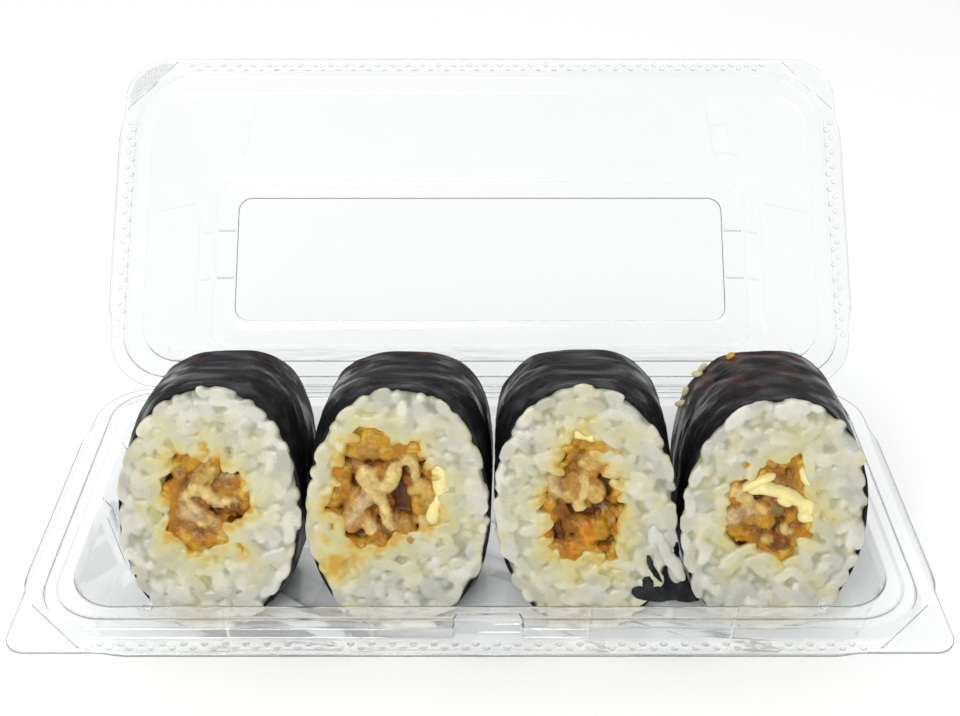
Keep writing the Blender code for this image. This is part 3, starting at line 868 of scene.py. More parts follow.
def fused(name, parts, voxel, smoothing):
    """One closed skin over overlapping parts, with each new point's colour blended from theirs."""
    points, faces, tints = joined(parts)
    skin = bpy.data.meshes.new(name)
    skin.from_pydata(points.tolist(), [], faces)
    rough = bpy.data.objects.new(name + "_rough", skin)
    bpy.context.scene.collection.objects.link(rough)
    remesh = rough.modifiers.new("Fused", "REMESH")
    remesh.mode = "VOXEL"
    remesh.voxel_size = voxel
    soften = rough.modifiers.new("Softened", "SMOOTH")
    soften.factor = 0.5
    soften.iterations = smoothing
    bpy.context.view_layer.update()
    graph = bpy.context.evaluated_depsgraph_get()
    skin = bpy.data.meshes.new_from_object(rough.evaluated_get(graph))
    bpy.data.objects.remove(rough)
    found = np.empty(len(skin.vertices) * 3)
    skin.vertices.foreach_get("co", found)
    found = found.reshape(-1, 3)
    tree = KDTree(len(points))
    for index, point in enumerate(points):
        tree.insert(point, index)
    tree.balance()
    colors = np.empty_like(found)
    for index, point in enumerate(found):
        near = tree.find_n(point, 5)
        weights = np.array([1 / (distance + 0.05) ** 3 for _, _, distance in near])
        colors[index] = weights @ tints[[i for _, i, _ in near]] / weights.sum()
    polygons = [tuple(polygon.vertices) for polygon in skin.polygons]
    normals = np.empty(len(skin.vertices) * 3)
    skin.vertices.foreach_get("normal", normals)
    bpy.data.meshes.remove(skin)
    return found, polygons, colors, normals.reshape(-1, 3)


def opening_edge(roll, angle):
    """How far the rice leaves the filling open at an angle, as a share of the opening's size."""
    seed = roll["number"]
    return (1 + 0.09 * np.sin(3 * angle + seed) + 0.07 * np.sin(5 * angle + 2 * seed)
            + 0.05 * np.sin(8 * angle + 3 * seed))


def opening_uv(roll, angle, share):
    """Points a share of the way from the middle of the filling to the edge of the rice."""
    reach = opening_edge(roll, angle) * share
    u = roll["opening"][0] + roll["opening_size"][0] * reach * np.cos(angle)
    return u, roll["opening"][1] + roll["opening_size"][1] * reach * np.sin(angle)


def opening_share(roll, u, v):
    """0 at the middle of the filling, 1 at the edge of the rice and more beyond it."""
    across = (u - roll["opening"][0]) / roll["opening_size"][0]
    up = (v - roll["opening"][1]) / roll["opening_size"][1]
    return np.hypot(across, up) / opening_edge(roll, np.arctan2(up, across))


def stain_at(roll, u, v):
    """How much of the filling's colour the rice has taken up, 0 to about 1.3."""
    beyond = (opening_share(roll, u, v) - 1) * min(roll["opening_size"])
    uneven = 1.05 + 0.6 * noise_at(np.stack((u / 4, v / 4, np.zeros_like(u)), axis=-1), 13)
    stain = RIM_STAIN[roll["number"]] * uneven * np.exp(-np.clip(beyond, 0, None) / STAIN_REACH)
    for spot_u, spot_v, reach, strength in STAINS[roll["number"]]:
        away = np.hypot(u - spot_u, v - spot_v) / reach
        stain = np.maximum(stain, strength * np.exp(-away ** 2))
    return stain


def spots_on_ring(roll, draw, tries, apart, rim):
    """Random places on the ring of rice that keep some distance from one another."""
    kept = np.empty((0, 2))
    half = np.array((roll["width"] / 2 - rim, roll["height"] / 2 - rim))
    middle = np.array((0, roll["height"] / 2))
    for _ in range(tries):
        spot = middle + half * (draw.uniform(-1, 1), draw.uniform(-1, 1))
        out = (np.abs((spot - middle) / half) ** roll["squareness"]).sum()
        if out > 1 or opening_share(roll, *spot) < 1.03:
            continue
        if (((kept - spot) ** 2).sum(axis=1) > apart ** 2).all():
            kept = np.concatenate((kept, [spot]))
    return kept


def face_grains(roll, draw, rim, apart, tries):
    """Grains over a cut face, each as its points in face axes, its faces and its colour."""
    made = []
    middle = roll["height"] / 2
    for u, v in spots_on_ring(roll, draw, tries, apart, rim):
        turn = math.atan2((v - middle) / roll["height"], u / roll["width"])
        along_rim = math.atan2(roll["height"] * math.cos(turn), -roll["width"] * math.sin(turn))
        near_rim = math.hypot(2 * u / roll["width"], 2 * (v - middle) / roll["height"]) > 0.84
        tip = draw.uniform(-0.3, 0.3) if draw.random() < LYING_SHARE else draw.uniform(0.5, 1.3)
        spin = along_rim + draw.uniform(-0.3, 0.3) if near_rim else draw.uniform(0, math.pi)
        reach = 2.5 * abs(math.sin(tip)) + 1.1 * math.cos(tip)
        points = grain(draw, (u, v, reach - draw.uniform(*GRAIN_DEPTH)), spin, tip)
        tone = draw.uniform(0, 1)
        made.append((points, GRAIN_FACES, RICE_GREY + (RICE_WHITE - RICE_GREY) * tone))
    return made


def kept_inside(roll, points):
    """Points of rice kept inside the seaweed, or let bulge a little in front of its cut edge."""
    middle = roll["height"] / 2
    depth = np.clip(points[:, 2], 0, roll["length"] / 2)
    angle = np.arctan2(
        power((points[:, 1] - middle) / roll["height"], squareness(roll, depth) / 2),
        power(points[:, 0] / roll["width"], squareness(roll, depth) / 2),
    )
    bulge = np.clip((1.3 - points[:, 2]) / 1.0, 0, 1) * 1.25
    limit_u, limit_v = outer_uv(roll, angle, depth, RICE_CLEARANCE - bulge)
    reach = np.hypot(limit_u, limit_v - middle) / (np.hypot(points[:, 0], points[:, 1] - middle) + 1e-6)
    reach = np.minimum(reach, 1)
    points[:, 0] *= reach
    points[:, 1] = middle + (points[:, 1] - middle) * reach
    return points


def cut_flat(points):
    """Rice sliced by the knife, so that proud grains end in one wavy face, and the depth of that face."""
    face = 0.28 * noise_at(points / (5, 5, 60), 61) - 0.1
    proud = (points[:, 2] - face) / KNIFE_SOFTNESS
    points[:, 2] = face + KNIFE_SOFTNESS * np.logaddexp(0, proud)
    return points, face


def ring_part(rows):
    """A closed ring of rice through rows of (right, up, depth) around the hole."""
    points = np.concatenate([np.stack((u, v, np.full_like(u, w)), axis=-1) for u, v, w in rows])
    faces = [tuple(reversed(face)) for face in tube_faces(len(rows), CORE_AROUND, closed=True)]
    return points, faces, RICE_GREY * 0.5 + RICE_WHITE * 0.5


def slab_of_rice(roll, grains, voxel, name):
    """The rice just behind a cut: grains pressed into a sticky layer, in one skin."""
    angle = np.linspace(0, 2 * math.pi, CORE_AROUND, endpoint=False)
    out_u, out_v = outer_uv(roll, angle, 1.8, RICE_CLEARANCE)

    def between(share):
        near_u, near_v = opening_uv(roll, angle, 1.04)
        return near_u + (out_u - near_u) * share, near_v + (out_v - near_v) * share

    hole = hole_uv(roll, angle, 0)
    across = ((0, 1.7), (0.08, 0.9), (0.5, 0.5), (0.9, 0.6), (1, 1.5))
    rows = [(*between(share), depth) for share, depth in across]
    rows.append((*outer_uv(roll, angle, SLAB_DEPTH, RICE_CLEARANCE), SLAB_DEPTH))
    rows += [(*hole, SLAB_DEPTH), (*hole, SLAB_DEPTH / 2)]
    return fused(name, [ring_part(rows), *grains], voxel, 3)


def rice_ring(roll, finish):
    """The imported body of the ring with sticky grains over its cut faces, as one piece."""
    draw = random.Random(300 + roll["number"])
    length = roll["length"]
    angle = np.linspace(0, 2 * math.pi, CORE_AROUND, endpoint=False)
    hole = hole_uv(roll, angle, -0.05)
    depths = (SLAB_DEPTH - SLAB_LAP, SQUARED_BY, length - SLAB_DEPTH + SLAB_LAP)
    shell = [(*outer_uv(roll, angle, w, RICE_CLEARANCE + 0.05), w) for w in depths]
    parts = [ring_part([(*hole, depths[0]), *shell, (*hole, depths[-1])])]
    for cut in (FRONT_CUT, BACK_CUT):
        grains = face_grains(roll, draw, cut["rim"], cut["apart"], cut["tries"])
        slab, slab_faces, tint, _ = slab_of_rice(roll, grains, cut["voxel"], f"rice_{roll['number']}")
        slab, knife_face = cut_flat(kept_inside(roll, slab))
        # Painted shade: darker where the rice lies deep behind the knife's face, in the gaps between the
        # grains.
        painted_gap_shade = np.clip((slab[:, 2] - knife_face - 0.18) / 0.6, 0, 1)[:, None]
        # Painted shade: darker towards the bottom of the face.
        low = np.clip(1 - slab[:, 1] / 16, 0, 1)[:, None]
        tint = tint * (1 - 0.55 * painted_gap_shade * (0.9, 0.85, 1)) * (1 - 0.16 * low)
        if cut["back"]:
            slab[:, 2] = length - slab[:, 2]
            slab_faces = [tuple(reversed(face)) for face in slab_faces]
        parts.append((slab, slab_faces, tint))
    uvw, faces, tint = joined(parts)
    stain = stain_at(roll, uvw[:, 0], uvw[:, 1]) * (0.85 + 0.4 * noise_at(uvw / 1.6, 19))
    tinge = 0.06 + 1.1 * noise_at(uvw / 7, 47 + roll["number"]) + 0.5 * noise_at(uvw / 2.5, 53)
    tinge = np.clip(tinge, 0, 0.7)[:, None]
    tint = tint + (RICE_TINGE - tint) * tinge
    yellow = np.clip(stain * 1.2, 0, 0.88)[:, None]
    orange = np.clip((stain - 0.62) * 1.7, 0, 0.85)[:, None]
    tint = tint + (RICE_YELLOW - tint) * yellow
    tint = tint + (RICE_ORANGE - tint) * orange
    places = placed(roll, *uvw.T, NORI_THICKNESS + 0.1)
    piece = mesh_piece(f"rice_grains_{roll['number']}", places, faces, "tray", finish)
    paint(piece, tint)
    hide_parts(f"rice_{roll['number']}")


def rice_material():
    """Cooked rice: translucent and starchy, with a moist shine."""
    made, _, shader = tinted_material(
        "cooked_rice", Scale=420, Detail=3, Roughness=0.5, Low=0, High=1,
        Darkest=0.88, Lightest=1.1, Relief=0.25, Height=0.0002,
    )
    set_sockets(shader, {
        "Roughness": 0.32,
        "Subsurface Weight": 0.45,
        "Subsurface Radius": (1.0, 0.85, 0.55),
        "Subsurface Scale": 0.0022,
    })
    return made


cooked_rice = rice_material()
for roll in ROLLS:
    rice_ring(roll, cooked_rice)

# Loose crumbs: broken grains of rice and a bit of glazed filling that the knife carried along. They
# dried on, stuck to the seaweed of the last roll.
CRUMB_SIZE = 0.5
# A crumb: angle round the roll, distance behind the cut and spin.
CRUMBS = [(2.62, 25.6, 0.4), (2.50, 26.6, 1.3), (2.28, 27.4, 0.2), (2.20, 28.0, 1.0), (1.86, 26.6, 0.7)]


def crumbs(roll, finish):
    """The crumbs, each a small grain that lies on the seaweed."""
    draw = random.Random(77)
    parts = []
    for index, (angle, w, spin) in enumerate(CRUMBS):
        u, v = outer_uv(roll, angle, w, -0.35)
        lump = grain(draw, (0, 0, 0), spin, 0.2) * CRUMB_SIZE + (float(u), float(v), w)
        tint = RICE_ORANGE if index == len(CRUMBS) - 1 else RICE_TINGE
        parts.append((lump, GRAIN_FACES, tint))
    points, faces, tints = joined(parts)
    paint(mesh_piece("rice_crumbs", placed(roll, *points.T), faces, "tray", finish), tints)


crumbs(ROLLS[3], cooked_rice)

# The filling: sliced meat cooked in a sweet brown sauce, folded through the middle of each roll.
# The cut shows its folds as pale edges with dark gaps between them and orange glaze round them.
FOOD_COLORS = {
    "pale": (0.57, 0.42, 0.15),
    "beige": (0.5, 0.33, 0.085),
    "tan": (0.38, 0.2, 0.035),
    "greypink": (0.47, 0.33, 0.16),
    "brown": (0.12, 0.034, 0.003),
    "glaze": (0.38, 0.155, 0.005),
    "sauce": (0.23, 0.088, 0.007),
    "orange": (0.52, 0.19, 0.004),
    "ochre": (0.44, 0.23, 0.012),
    "yellow": (0.54, 0.36, 0.04),
    "green": (0.16, 0.14, 0.04),
    # Painted shade: the colour of the core, which shows in the gaps between the folds.
    "dark": (0.065, 0.016, 0.002),
    "cream": (0.73, 0.64, 0.28),
}
# A fold of the filling: its food, depth behind the cut, half width, and path of points right and up.
FOLDS = {
    1: [
        ("beige", 0.4, 2.5, [(0.6, 44), (-0.5, 41.5), (-3.2, 38.8)]),
        ("pale", 0.2, 1.5, [(-6.3, 33), (-4.8, 36.8), (-1.5, 37.2), (1.5, 34.5), (6.8, 34.4)]),
        ("ochre", 0.9, 1.5, [(2.6, 37.4), (6.6, 36.6)]),
        ("greypink", 1.2, 0.9, [(2.4, 39.6), (4.6, 40.6), (6.3, 39.2)]),
        ("greypink", 0.2, 2.3, [(-6.8, 30.6), (-4.2, 32.4), (-2.9, 30.2)]),
        ("pale", 0.6, 1.6, [(-2.2, 28.6), (0.6, 29.6)]),
        ("tan", 0.6, 1.9, [(0.8, 27), (3.2, 28.6)]),
        ("beige", 0.4, 1.2, [(3.0, 27.4), (3.7, 25)]),
        ("glaze", 0.5, 1.8, [(-8.2, 26.6), (-4, 24.2), (1, 24.4), (5, 23)]),
        ("glaze", 0.6, 1.4, [(-6.4, 40.6), (-8.6, 36.6), (-9.6, 32), (-9.4, 27.4)]),
        ("ochre", 0.5, 1.5, [(-5.2, 42), (-2.4, 45.4), (2, 46.8), (6.5, 46.0)]),
        ("yellow", 0.3, 1.9, [(-1.8, 48), (0.4, 49.6)]),
        ("yellow", 0.6, 1.1, [(8.0, 44), (8.2, 38), (8.0, 33)]),
        ("brown", 0.7, 1.0, [(3.4, 31.8), (6.2, 33.0), (8.0, 31.2)]),
        ("ochre", 0.6, 1.2, [(7.4, 24.4), (7.2, 20.8)]),
        ("tan", 0.9, 1.1, [(-6.4, 28), (-3.4, 27.4)]),
    ],
    2: [
        ("tan", 0.3, 2.2, [(-9.8, 46), (-7.4, 48.0), (-4.8, 46.6)]),
        ("ochre", 0.3, 1.8, [(-6.4, 49.8), (-1.5, 50.2)]),
        ("glaze", 0.3, 2.0, [(-0.8, 49), (1.5, 47.6), (4.6, 47.4), (6.2, 46.4)]),
        ("ochre", 0.5, 1.6, [(-3.6, 47.4), (-1.6, 45.8)]),
        ("pale", -0.2, 1.9, [(-8.2, 42.4), (-6.8, 39.8), (-5.2, 36.9)]),
        ("pale", -0.2, 1.5, [(-0.7, 43.5), (-1.5, 40.5), (-3.1, 37.3)]),
        ("tan", 0.9, 1.2, [(-4.9, 43.0), (-4.2, 41)]),
        ("pale", 0.0, 0.95, [(0.4, 43.8), (2.2, 45.2), (3.9, 42.8), (3.8, 40)]),
        ("brown", 1.2, 0.9, [(2.0, 40.5), (2.4, 38.6)]),
        ("beige", 0.2, 1.5, [(3.0, 36.5), (4.8, 38.5), (6.8, 36.4), (6.9, 33)]),
        ("ochre", 0.5, 1.7, [(4.8, 35), (5.2, 31.5)]),
        ("pale", 0.3, 1.4, [(5.4, 30.2), (6.8, 28.2)]),
        ("glaze", 0.5, 1.7, [(-14.4, 41.3), (-11.8, 41.6)]),
        ("glaze", 0.5, 1.8, [(-12.6, 38.6), (-13.2, 34.5)]),
        ("tan", 0.4, 1.0, [(-9.4, 37.6), (-11.2, 33.6), (-12.8, 30)]),
        ("greypink", 0.0, 1.8, [(-6.2, 35.9), (-9.3, 33.2), (-12.0, 27.6)]),
        ("tan", 0.2, 1.2, [(-6.8, 31.4), (-9.4, 28.8), (-11.6, 26.8)]),
        ("pale", 0.1, 1.2, [(-6.2, 35.2), (-3.8, 34.6), (-2.7, 30.5), (-1.5, 27.0)]),
        ("pale", 0.2, 1.5, [(-7.3, 29.8), (-6.1, 26.6)]),
        ("tan", 0.3, 2.0, [(1.2, 30), (1.8, 26.4), (3.4, 23.8)]),
        ("brown", 0.8, 1.4, [(-3.6, 28.2), (-1.8, 24.8)]),
        ("glaze", 0.5, 1.7, [(-14.2, 24.8), (-10, 22.4), (-5, 22.0), (0, 22.4)]),
        ("glaze", 0.7, 1.3, [(-15.6, 31), (-15.2, 26.8)]),
        ("ochre", 0.6, 1.1, [(5.6, 26.2), (8.2, 27.6)]),
    ],
    3: [
        ("greypink", 0.2, 1.6, [(-7.8, 40.4), (-6.8, 37.8), (-5.8, 36.4)]),
        ("tan", 0.6, 0.9, [(-4.9, 39.8), (-5.0, 37)]),
        ("tan", 0.1, 1.8, [(-2.8, 41.2), (-1.7, 38.6), (-2.4, 36.6)]),
        ("beige", 0.3, 1.5, [(-4.8, 36.4), (-3.0, 35.3)]),
        ("pale", 0.0, 0.9, [(-0.4, 41.8), (0.0, 38), (-1.0, 34.6)]),
        ("beige", 0.1, 1.8, [(1.2, 38.6), (2.6, 36.8), (1.5, 34.8)]),
        ("pale", -0.1, 1.2, [(-1.9, 34.4), (-1.1, 32.8)]),
        ("beige", 0.3, 1.9, [(-1.0, 43.6), (1.6, 44.6), (4.2, 43.8)]),
        ("glaze", 0.5, 1.5, [(2.0, 46.8), (4.4, 46.6), (6.4, 44.6)]),
        ("ochre", 0.7, 1.2, [(0.8, 41.6), (2.4, 41.0)]),
        ("pale", 0.3, 1.6, [(4.8, 42.2), (8.0, 41.8)]),
        ("ochre", 0.5, 1.4, [(4.0, 49.2), (3.6, 47.8)]),
        ("beige", 0.3, 1.9, [(5.6, 48.6), (7.6, 47.0)]),
        ("ochre", 0.8, 1.1, [(7.4, 39.2), (7.8, 36.4), (6.2, 34.2)]),
        ("ochre", 0.4, 1.8, [(-9.0, 33.6), (-7.6, 33.8)]),
        ("glaze", 0.5, 1.6, [(-8.4, 31.4), (-8.0, 29.4)]),
        ("brown", 0.9, 1.3, [(-6.0, 33.0), (-5.2, 30.0)]),
        ("brown", 1.2, 1.1, [(-4.2, 29.2), (-4.4, 26.6)]),
        ("orange", 0.3, 2.3, [(-1.2, 28.4), (0.4, 26.0), (-0.4, 23.6)]),
        ("orange", 0.6, 1.6, [(-4.4, 23.0), (1.6, 22.2)]),
        ("ochre", 0.4, 1.5, [(3.2, 29.4), (3.8, 25)]),
        ("glaze", 0.4, 2.0, [(-7.6, 22.4), (-4, 20.6), (-0.8, 20.0)]),
        ("ochre", 0.5, 1.6, [(-4.2, 18.2), (-2.8, 17.2)]),
        ("glaze", 0.6, 1.2, [(-9.4, 28), (-9.0, 24)]),
        ("ochre", 0.6, 1.2, [(-8.0, 42.6), (-5.4, 43.0)]),
    ],
    4: [
        ("brown", 1.4, 1.4, [(-8.4, 38.8), (-6.6, 41.2), (-4.8, 43.0)]),
        ("ochre", 0.5, 1.1, [(-9.8, 39.6), (-8.4, 42.8), (-6.4, 45.2)]),
        ("tan", 0.4, 1.2, [(-4.6, 44.8), (-2.0, 44.8), (-1.0, 43.4)]),
        ("pale", 0.4, 1.2, [(-10.2, 36.8), (-8.0, 36.8)]),
        ("pale", 0.1, 1.1, [(-8.8, 35.4), (-6.8, 35.2), (-5.6, 33.4)]),
        ("greypink", 0.3, 1.4, [(-7.2, 33.2), (-5.6, 31.6)]),
        ("greypink", 0.2, 1.8, [(-10.2, 31.6), (-9.4, 29)]),
        ("tan", 0.5, 1.3, [(-6.4, 30.0), (-5.0, 28.8)]),
        ("beige", 0.2, 1.6, [(-4.0, 33.2), (-2.6, 31.4)]),
        ("ochre", 0.3, 1.8, [(-3.4, 29.4), (-0.8, 28.9)]),
        ("green", 0.7, 1.5, [(-0.1, 32.4), (1.5, 31.6)]),
        ("glaze", 0.6, 1.0, [(-11.0, 35.4), (-10.6, 34.6)]),
        ("ochre", 0.5, 1.4, [(-10.0, 27.0), (-7.6, 26.6)]),
        ("glaze", 0.5, 1.5, [(-6.2, 25.4), (-3.6, 24.8)]),
        ("brown", 0.7, 1.2, [(-4.2, 26.8), (-3.6, 24.4)]),
        ("beige", 0.3, 1.0, [(-2.0, 25.2), (-1.2, 24.2)]),
        ("brown", 0.5, 1.9, [(-0.2, 24.4), (1.4, 22.8), (4.2, 23.0)]),
        ("glaze", 0.5, 1.3, [(-1.8, 21.0), (1.2, 19.8), (4.4, 21.2)]),
        ("glaze", 0.4, 2.0, [(4.8, 27.2), (6.6, 25.6), (8.4, 26.6)]),
        ("brown", 0.9, 0.9, [(4.2, 28.8), (8.0, 28.6)]),
        ("pale", 0.1, 0.9, [(2.4, 28.2), (3.2, 26.2)]),
        ("ochre", 0.6, 1.2, [(3.2, 30.2), (4.4, 29.8)]),
    ],
}
# A gap between the folds, kept free of loose bits, where the dark core shows as painted shade: right, up
# and radius.
PITS = {
    1: [
        (4.6, 42.2, 2.3), (-1.4, 31.6, 1.0), (6.6, 27.8, 2.3), (2.6, 31.6, 1.0), (7.8, 31.0, 1.0),
    ],
    2: [
        (-4.6, 45.2, 1.2), (4.9, 44.8, 1.1), (0.2, 38.6, 0.9), (0.4, 34.6, 0.9), (2.4, 31.2, 0.8),
        (-9.8, 38.6, 1.0), (-13.6, 29.2, 1.3), (-12.8, 25.6, 1.3), (-8.8, 25.6, 1.2), (-5.6, 36.2, 0.8),
        (1.4, 41.6, 0.8),
    ],
    3: [
        (4.4, 39.4, 1.7), (5.0, 36.4, 1.3), (2.6, 32.6, 1.0), (-0.4, 31.2, 1.1), (-4.0, 33.2, 1.0),
        (-7.0, 27.6, 1.6), (-6.8, 24.4, 1.3), (-9.4, 38.6, 0.9), (-9.9, 36.0, 0.8), (3.6, 33.6, 1.0),
        (-3.4, 23.6, 0.9),
    ],
    4: [
        (-7.6, 40.2, 1.5), (-5.6, 42.0, 1.0), (-4.8, 35.2, 1.1), (-7.8, 30.8, 0.8), (-5.8, 28.2, 0.7),
        (0.0, 29.6, 0.9), (0.4, 24.8, 1.1), (3.4, 24.6, 1.0),
    ],
}
FOLD_AROUND = 14
FOLD_ROWS = 16
MEAT_VOXEL = 0.29
BODY_AROUND = 60
BODY_INWARD = 0.4
FOLD_SPREAD = 1.35
FOLD_PROUD = 0.3
FOLD_DEPTH = 1.4
BACK_FOLD_DEPTH = 1.6
CUT_BODY = (2.7, 5.5)
BODY_START = 4.5
BACK_FOLDS = 34
LOOSE_BITS = 260
BACK_KINDS = ("beige", "tan", "greypink", "glaze", "ochre", "brown", "pale", "glaze")
EDGE_KINDS = ("glaze", "ochre", "yellow", "glaze")
INNER_KINDS = ("glaze", "brown", "tan", "sauce", "ochre", "greypink")


def smooth_path(points, count):
    """Points along a soft curve through a few given ones."""
    points = np.array(points, dtype=float)
    ends = np.concatenate((2 * points[:1] - points[1:2], points, 2 * points[-1:] - points[-2:-1]))
    made = []
    for share in np.linspace(0, len(points) - 1 - 1e-6, count):
        i = int(share)
        t = share - i
        a, b, c, d = ends[i:i + 4]
        made.append(0.5 * (2 * b + (c - a) * t + (2 * a - 5 * b + 4 * c - d) * t ** 2
                           + (3 * b - a - 3 * c + d) * t ** 3))
    return np.array(made)


def fold(path, depth, half_width, half_depth):
    """A rounded strip of food along a path on the cut face, as points in face axes and faces."""
    line = smooth_path(path, FOLD_ROWS)
    along = np.gradient(line, axis=0)
    along /= np.linalg.norm(along, axis=1)[:, None] + 1e-9
    side = np.stack((-along[:, 1], along[:, 0]), axis=-1)
    share = np.linspace(-1, 1, FOLD_ROWS)
    reach = np.sqrt(np.clip(1.02 - np.abs(share) ** 3.2, 0.02, 1))
    line = line + along * (share * half_width * 0.5)[:, None]
    angle = np.linspace(0, 2 * math.pi, FOLD_AROUND, endpoint=False)
    rows = []
    for spot, across, size in zip(line, side, reach):
        offset = np.cos(angle)[:, None] * across * half_width * size
        w = depth + half_depth - np.sin(angle) * half_depth * size
        rows.append(np.concatenate((spot + offset, w[:, None]), axis=1))
    faces = tube_faces(FOLD_ROWS, FOLD_AROUND, closed=False)
    faces.append(tuple(range(FOLD_AROUND))[::-1])
    faces.append(tuple(range((FOLD_ROWS - 1) * FOLD_AROUND, FOLD_ROWS * FOLD_AROUND)))
    return np.concatenate(rows), faces


def back_folds(roll, draw):
    """Folds at the far cut, which the photo doesn't show, laid at random from the same foods."""
    made = []
    for _ in range(BACK_FOLDS):
        angle = draw.uniform(0, math.tau)
        share = math.sqrt(draw.random()) * 0.82
        u = roll["hole"][0] + roll["hole_size"][0] * share * math.cos(angle)
        v = roll["hole"][1] + roll["hole_size"][1] * share * math.sin(angle)
        way = draw.uniform(0, math.pi)
        step = np.array((math.cos(way), math.sin(way))) * draw.uniform(1.0, 2.6)
        bend = np.array((-step[1], step[0])) * draw.uniform(-0.6, 0.6)
        path = [(u, v) - step, (u, v) + bend, (u, v) + step]
        kind = draw.choice(BACK_KINDS)
        made.append((kind, draw.uniform(0.3, 1.2), draw.uniform(0.9, 1.9), path))
    return made


def loose_bits(roll, draw, pits):
    """Small lumps of the same foods that fill the cut between the folds, except in the pits, where the dark
    core shows as painted shade.
    """
    made = []
    for _ in range(LOOSE_BITS):
        angle = draw.uniform(0, math.tau)
        u, v = opening_uv(roll, angle, math.sqrt(draw.random()) * 1.02)
        if any(math.hypot(u - a, v - b) < reach + 0.9 for a, b, reach in pits):
            continue
        way = draw.uniform(0, math.pi)
        step = np.array((math.cos(way), math.sin(way))) * draw.uniform(0.5, 1.4)
        near_edge = opening_share(roll, u, v) > 0.8
        kinds = EDGE_KINDS if near_edge else INNER_KINDS
        depth = draw.uniform(0.4, 1.2) if near_edge else draw.uniform(1.0, 1.9)
        made.append((draw.choice(kinds), depth, draw.uniform(0.7, 1.3), [(u, v) - step, (u, v) + step]))
    return made


def filling_body(roll, start, end):
    """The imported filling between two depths, rounded at both ends, as points in face axes and faces."""
    angle = np.linspace(0, 2 * math.pi, BODY_AROUND, endpoint=False)
    rows = []
    rounding = (
        (0.5, start + 0.3), (0.9, start), (1, start + 1), (1, end - 1), (0.9, end), (0.5, end - 0.3),
    )
    for share, w in rounding:
        u, v = hole_uv(roll, angle, BODY_INWARD)
        u = roll["hole"][0] + (u - roll["hole"][0]) * share
        v = roll["hole"][1] + (v - roll["hole"][1]) * share
        rows.append(np.stack((u, v, np.full_like(u, w)), axis=-1))
    faces = [tuple(reversed(face)) for face in tube_faces(len(rows), BODY_AROUND, closed=False)]
    faces.append(tuple(range(BODY_AROUND)))
    faces.append(tuple(range((len(rows) - 1) * BODY_AROUND, len(rows) * BODY_AROUND))[::-1])
    return np.concatenate(rows), faces


def sauced_folds(roll, name, parts, voxel, color):
    """Folds fused into one skin with a grainy surface, with painted shade in its gaps, sauce that deepens
    with depth as sauce and painted shade in one, and less sauce at the rim.
    """
    points, faces, tint, normals = fused(name, parts, voxel, 2)
    grainy = 0.32 * noise_at(points / 1.9, 11) + 0.18 * noise_at(points / 0.8, 17)
    points = points + normals * grainy[:, None]
    # Painted shade: the deeper the surface lies behind the cut, the nearer it comes to the dark colour.
    gap = np.clip((points[:, 2] - 1.4) / 1.6, 0, 1)[:, None]
    tint = tint + (color["dark"] - tint) * gap * 0.9
    # Sauce colour, partly real sauce and partly painted shade, deepens with depth behind the cut.
    sauce_and_shade = (points[:, 2] + 0.1) / 1.5 + 0.6 * noise_at(points / (1.6, 1.6, 3), 37)
    sauce_and_shade = np.clip(sauce_and_shade, 0, 0.75)[:, None]
    inner = np.clip((1.02 - opening_share(roll, points[:, 0], points[:, 1])) / 0.35, 0.2, 1)[:, None]
    tint = tint + (color["sauce"] - tint) * sauce_and_shade * inner * (1 - gap)
    vary = 1 + 0.24 * noise_at(points / 2.4, 23) + 0.22 * noise_at(points / 0.7, 29)
    return points, faces, np.clip(tint * vary[:, None], 0, 1)


def filling_piece(roll, finish):
    """The meat of a roll: its folds at the front cut, random ones at the far cut, and a plain core."""
    draw = random.Random(400 + roll["number"])
    color = {name: np.array(value) for name, value in FOOD_COLORS.items()}
    length = roll["length"]
    name = f"filling_meat_{roll['number']}"
    # The core in the dark colour shows through the gaps between the folds as painted shade.
    front = [(*filling_body(roll, *CUT_BODY), color["dark"])]
    for kind, depth, half_width, path in FOLDS[roll["number"]]:
        strip = fold(path, depth - FOLD_PROUD, half_width * FOLD_SPREAD, max(FOLD_DEPTH, half_width))
        front.append((*strip, color[kind]))
    for kind, depth, half_width, path in loose_bits(roll, draw, PITS[roll["number"]]):
        front.append((*fold(path, depth, half_width, FOLD_DEPTH), color[kind]))
    back = [(*filling_body(roll, *CUT_BODY), color["dark"])]
    for kind, depth, half_width, path in back_folds(roll, draw):
        back.append((*fold(path, depth, half_width, BACK_FOLD_DEPTH), color[kind]))
    near_part = sauced_folds(roll, name, front, MEAT_VOXEL, color)
    far_points, far_faces, far_tint = sauced_folds(roll, name, back, BACK_VOXEL, color)
    far_points[:, 2] = length - far_points[:, 2]
    far_part = (far_points, [tuple(reversed(face)) for face in far_faces], far_tint)
    core = (*filling_body(roll, BODY_START, length - BODY_START), color["dark"])
    points, faces, tint = joined([near_part, far_part, core])
    places = placed(roll, *points.T, RICE_CLEARANCE)
    piece = mesh_piece(name, places, faces, "tray", finish)
    paint(piece, tint)
    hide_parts(f"filling_{roll['number']}")


def sauce_material(name, roughness, coat, scatter):
    """Food with a wet surface and a fine uneven grain."""
    made, _, shader = tinted_material(
        name, Scale=700, Detail=4, Roughness=0.5, Low=0, High=1,
        Darkest=0.8, Lightest=1.2, Relief=0.3, Height=0.0003,
    )
    set_sockets(shader, {
        "Roughness": roughness,
        "Coat Weight": coat,
        "Coat Roughness": 0.1,
        "Specular IOR Level": 0.2,
        "Subsurface Weight": scatter,
        "Subsurface Radius": (1.0, 0.6, 0.3),
        "Subsurface Scale": 0.001,
    })
    return made


glazed_meat = sauce_material("glazed_meat", 0.42, 0.18, 0.06)
for roll in ROLLS:
    filling_piece(roll, glazed_meat)

# The cream: a pale yellow egg dressing, piped along the filling before the roll was closed. It is thick
# and smooth, and the knife spread it a little over the cut.
CREAM_VOXEL = 0.25
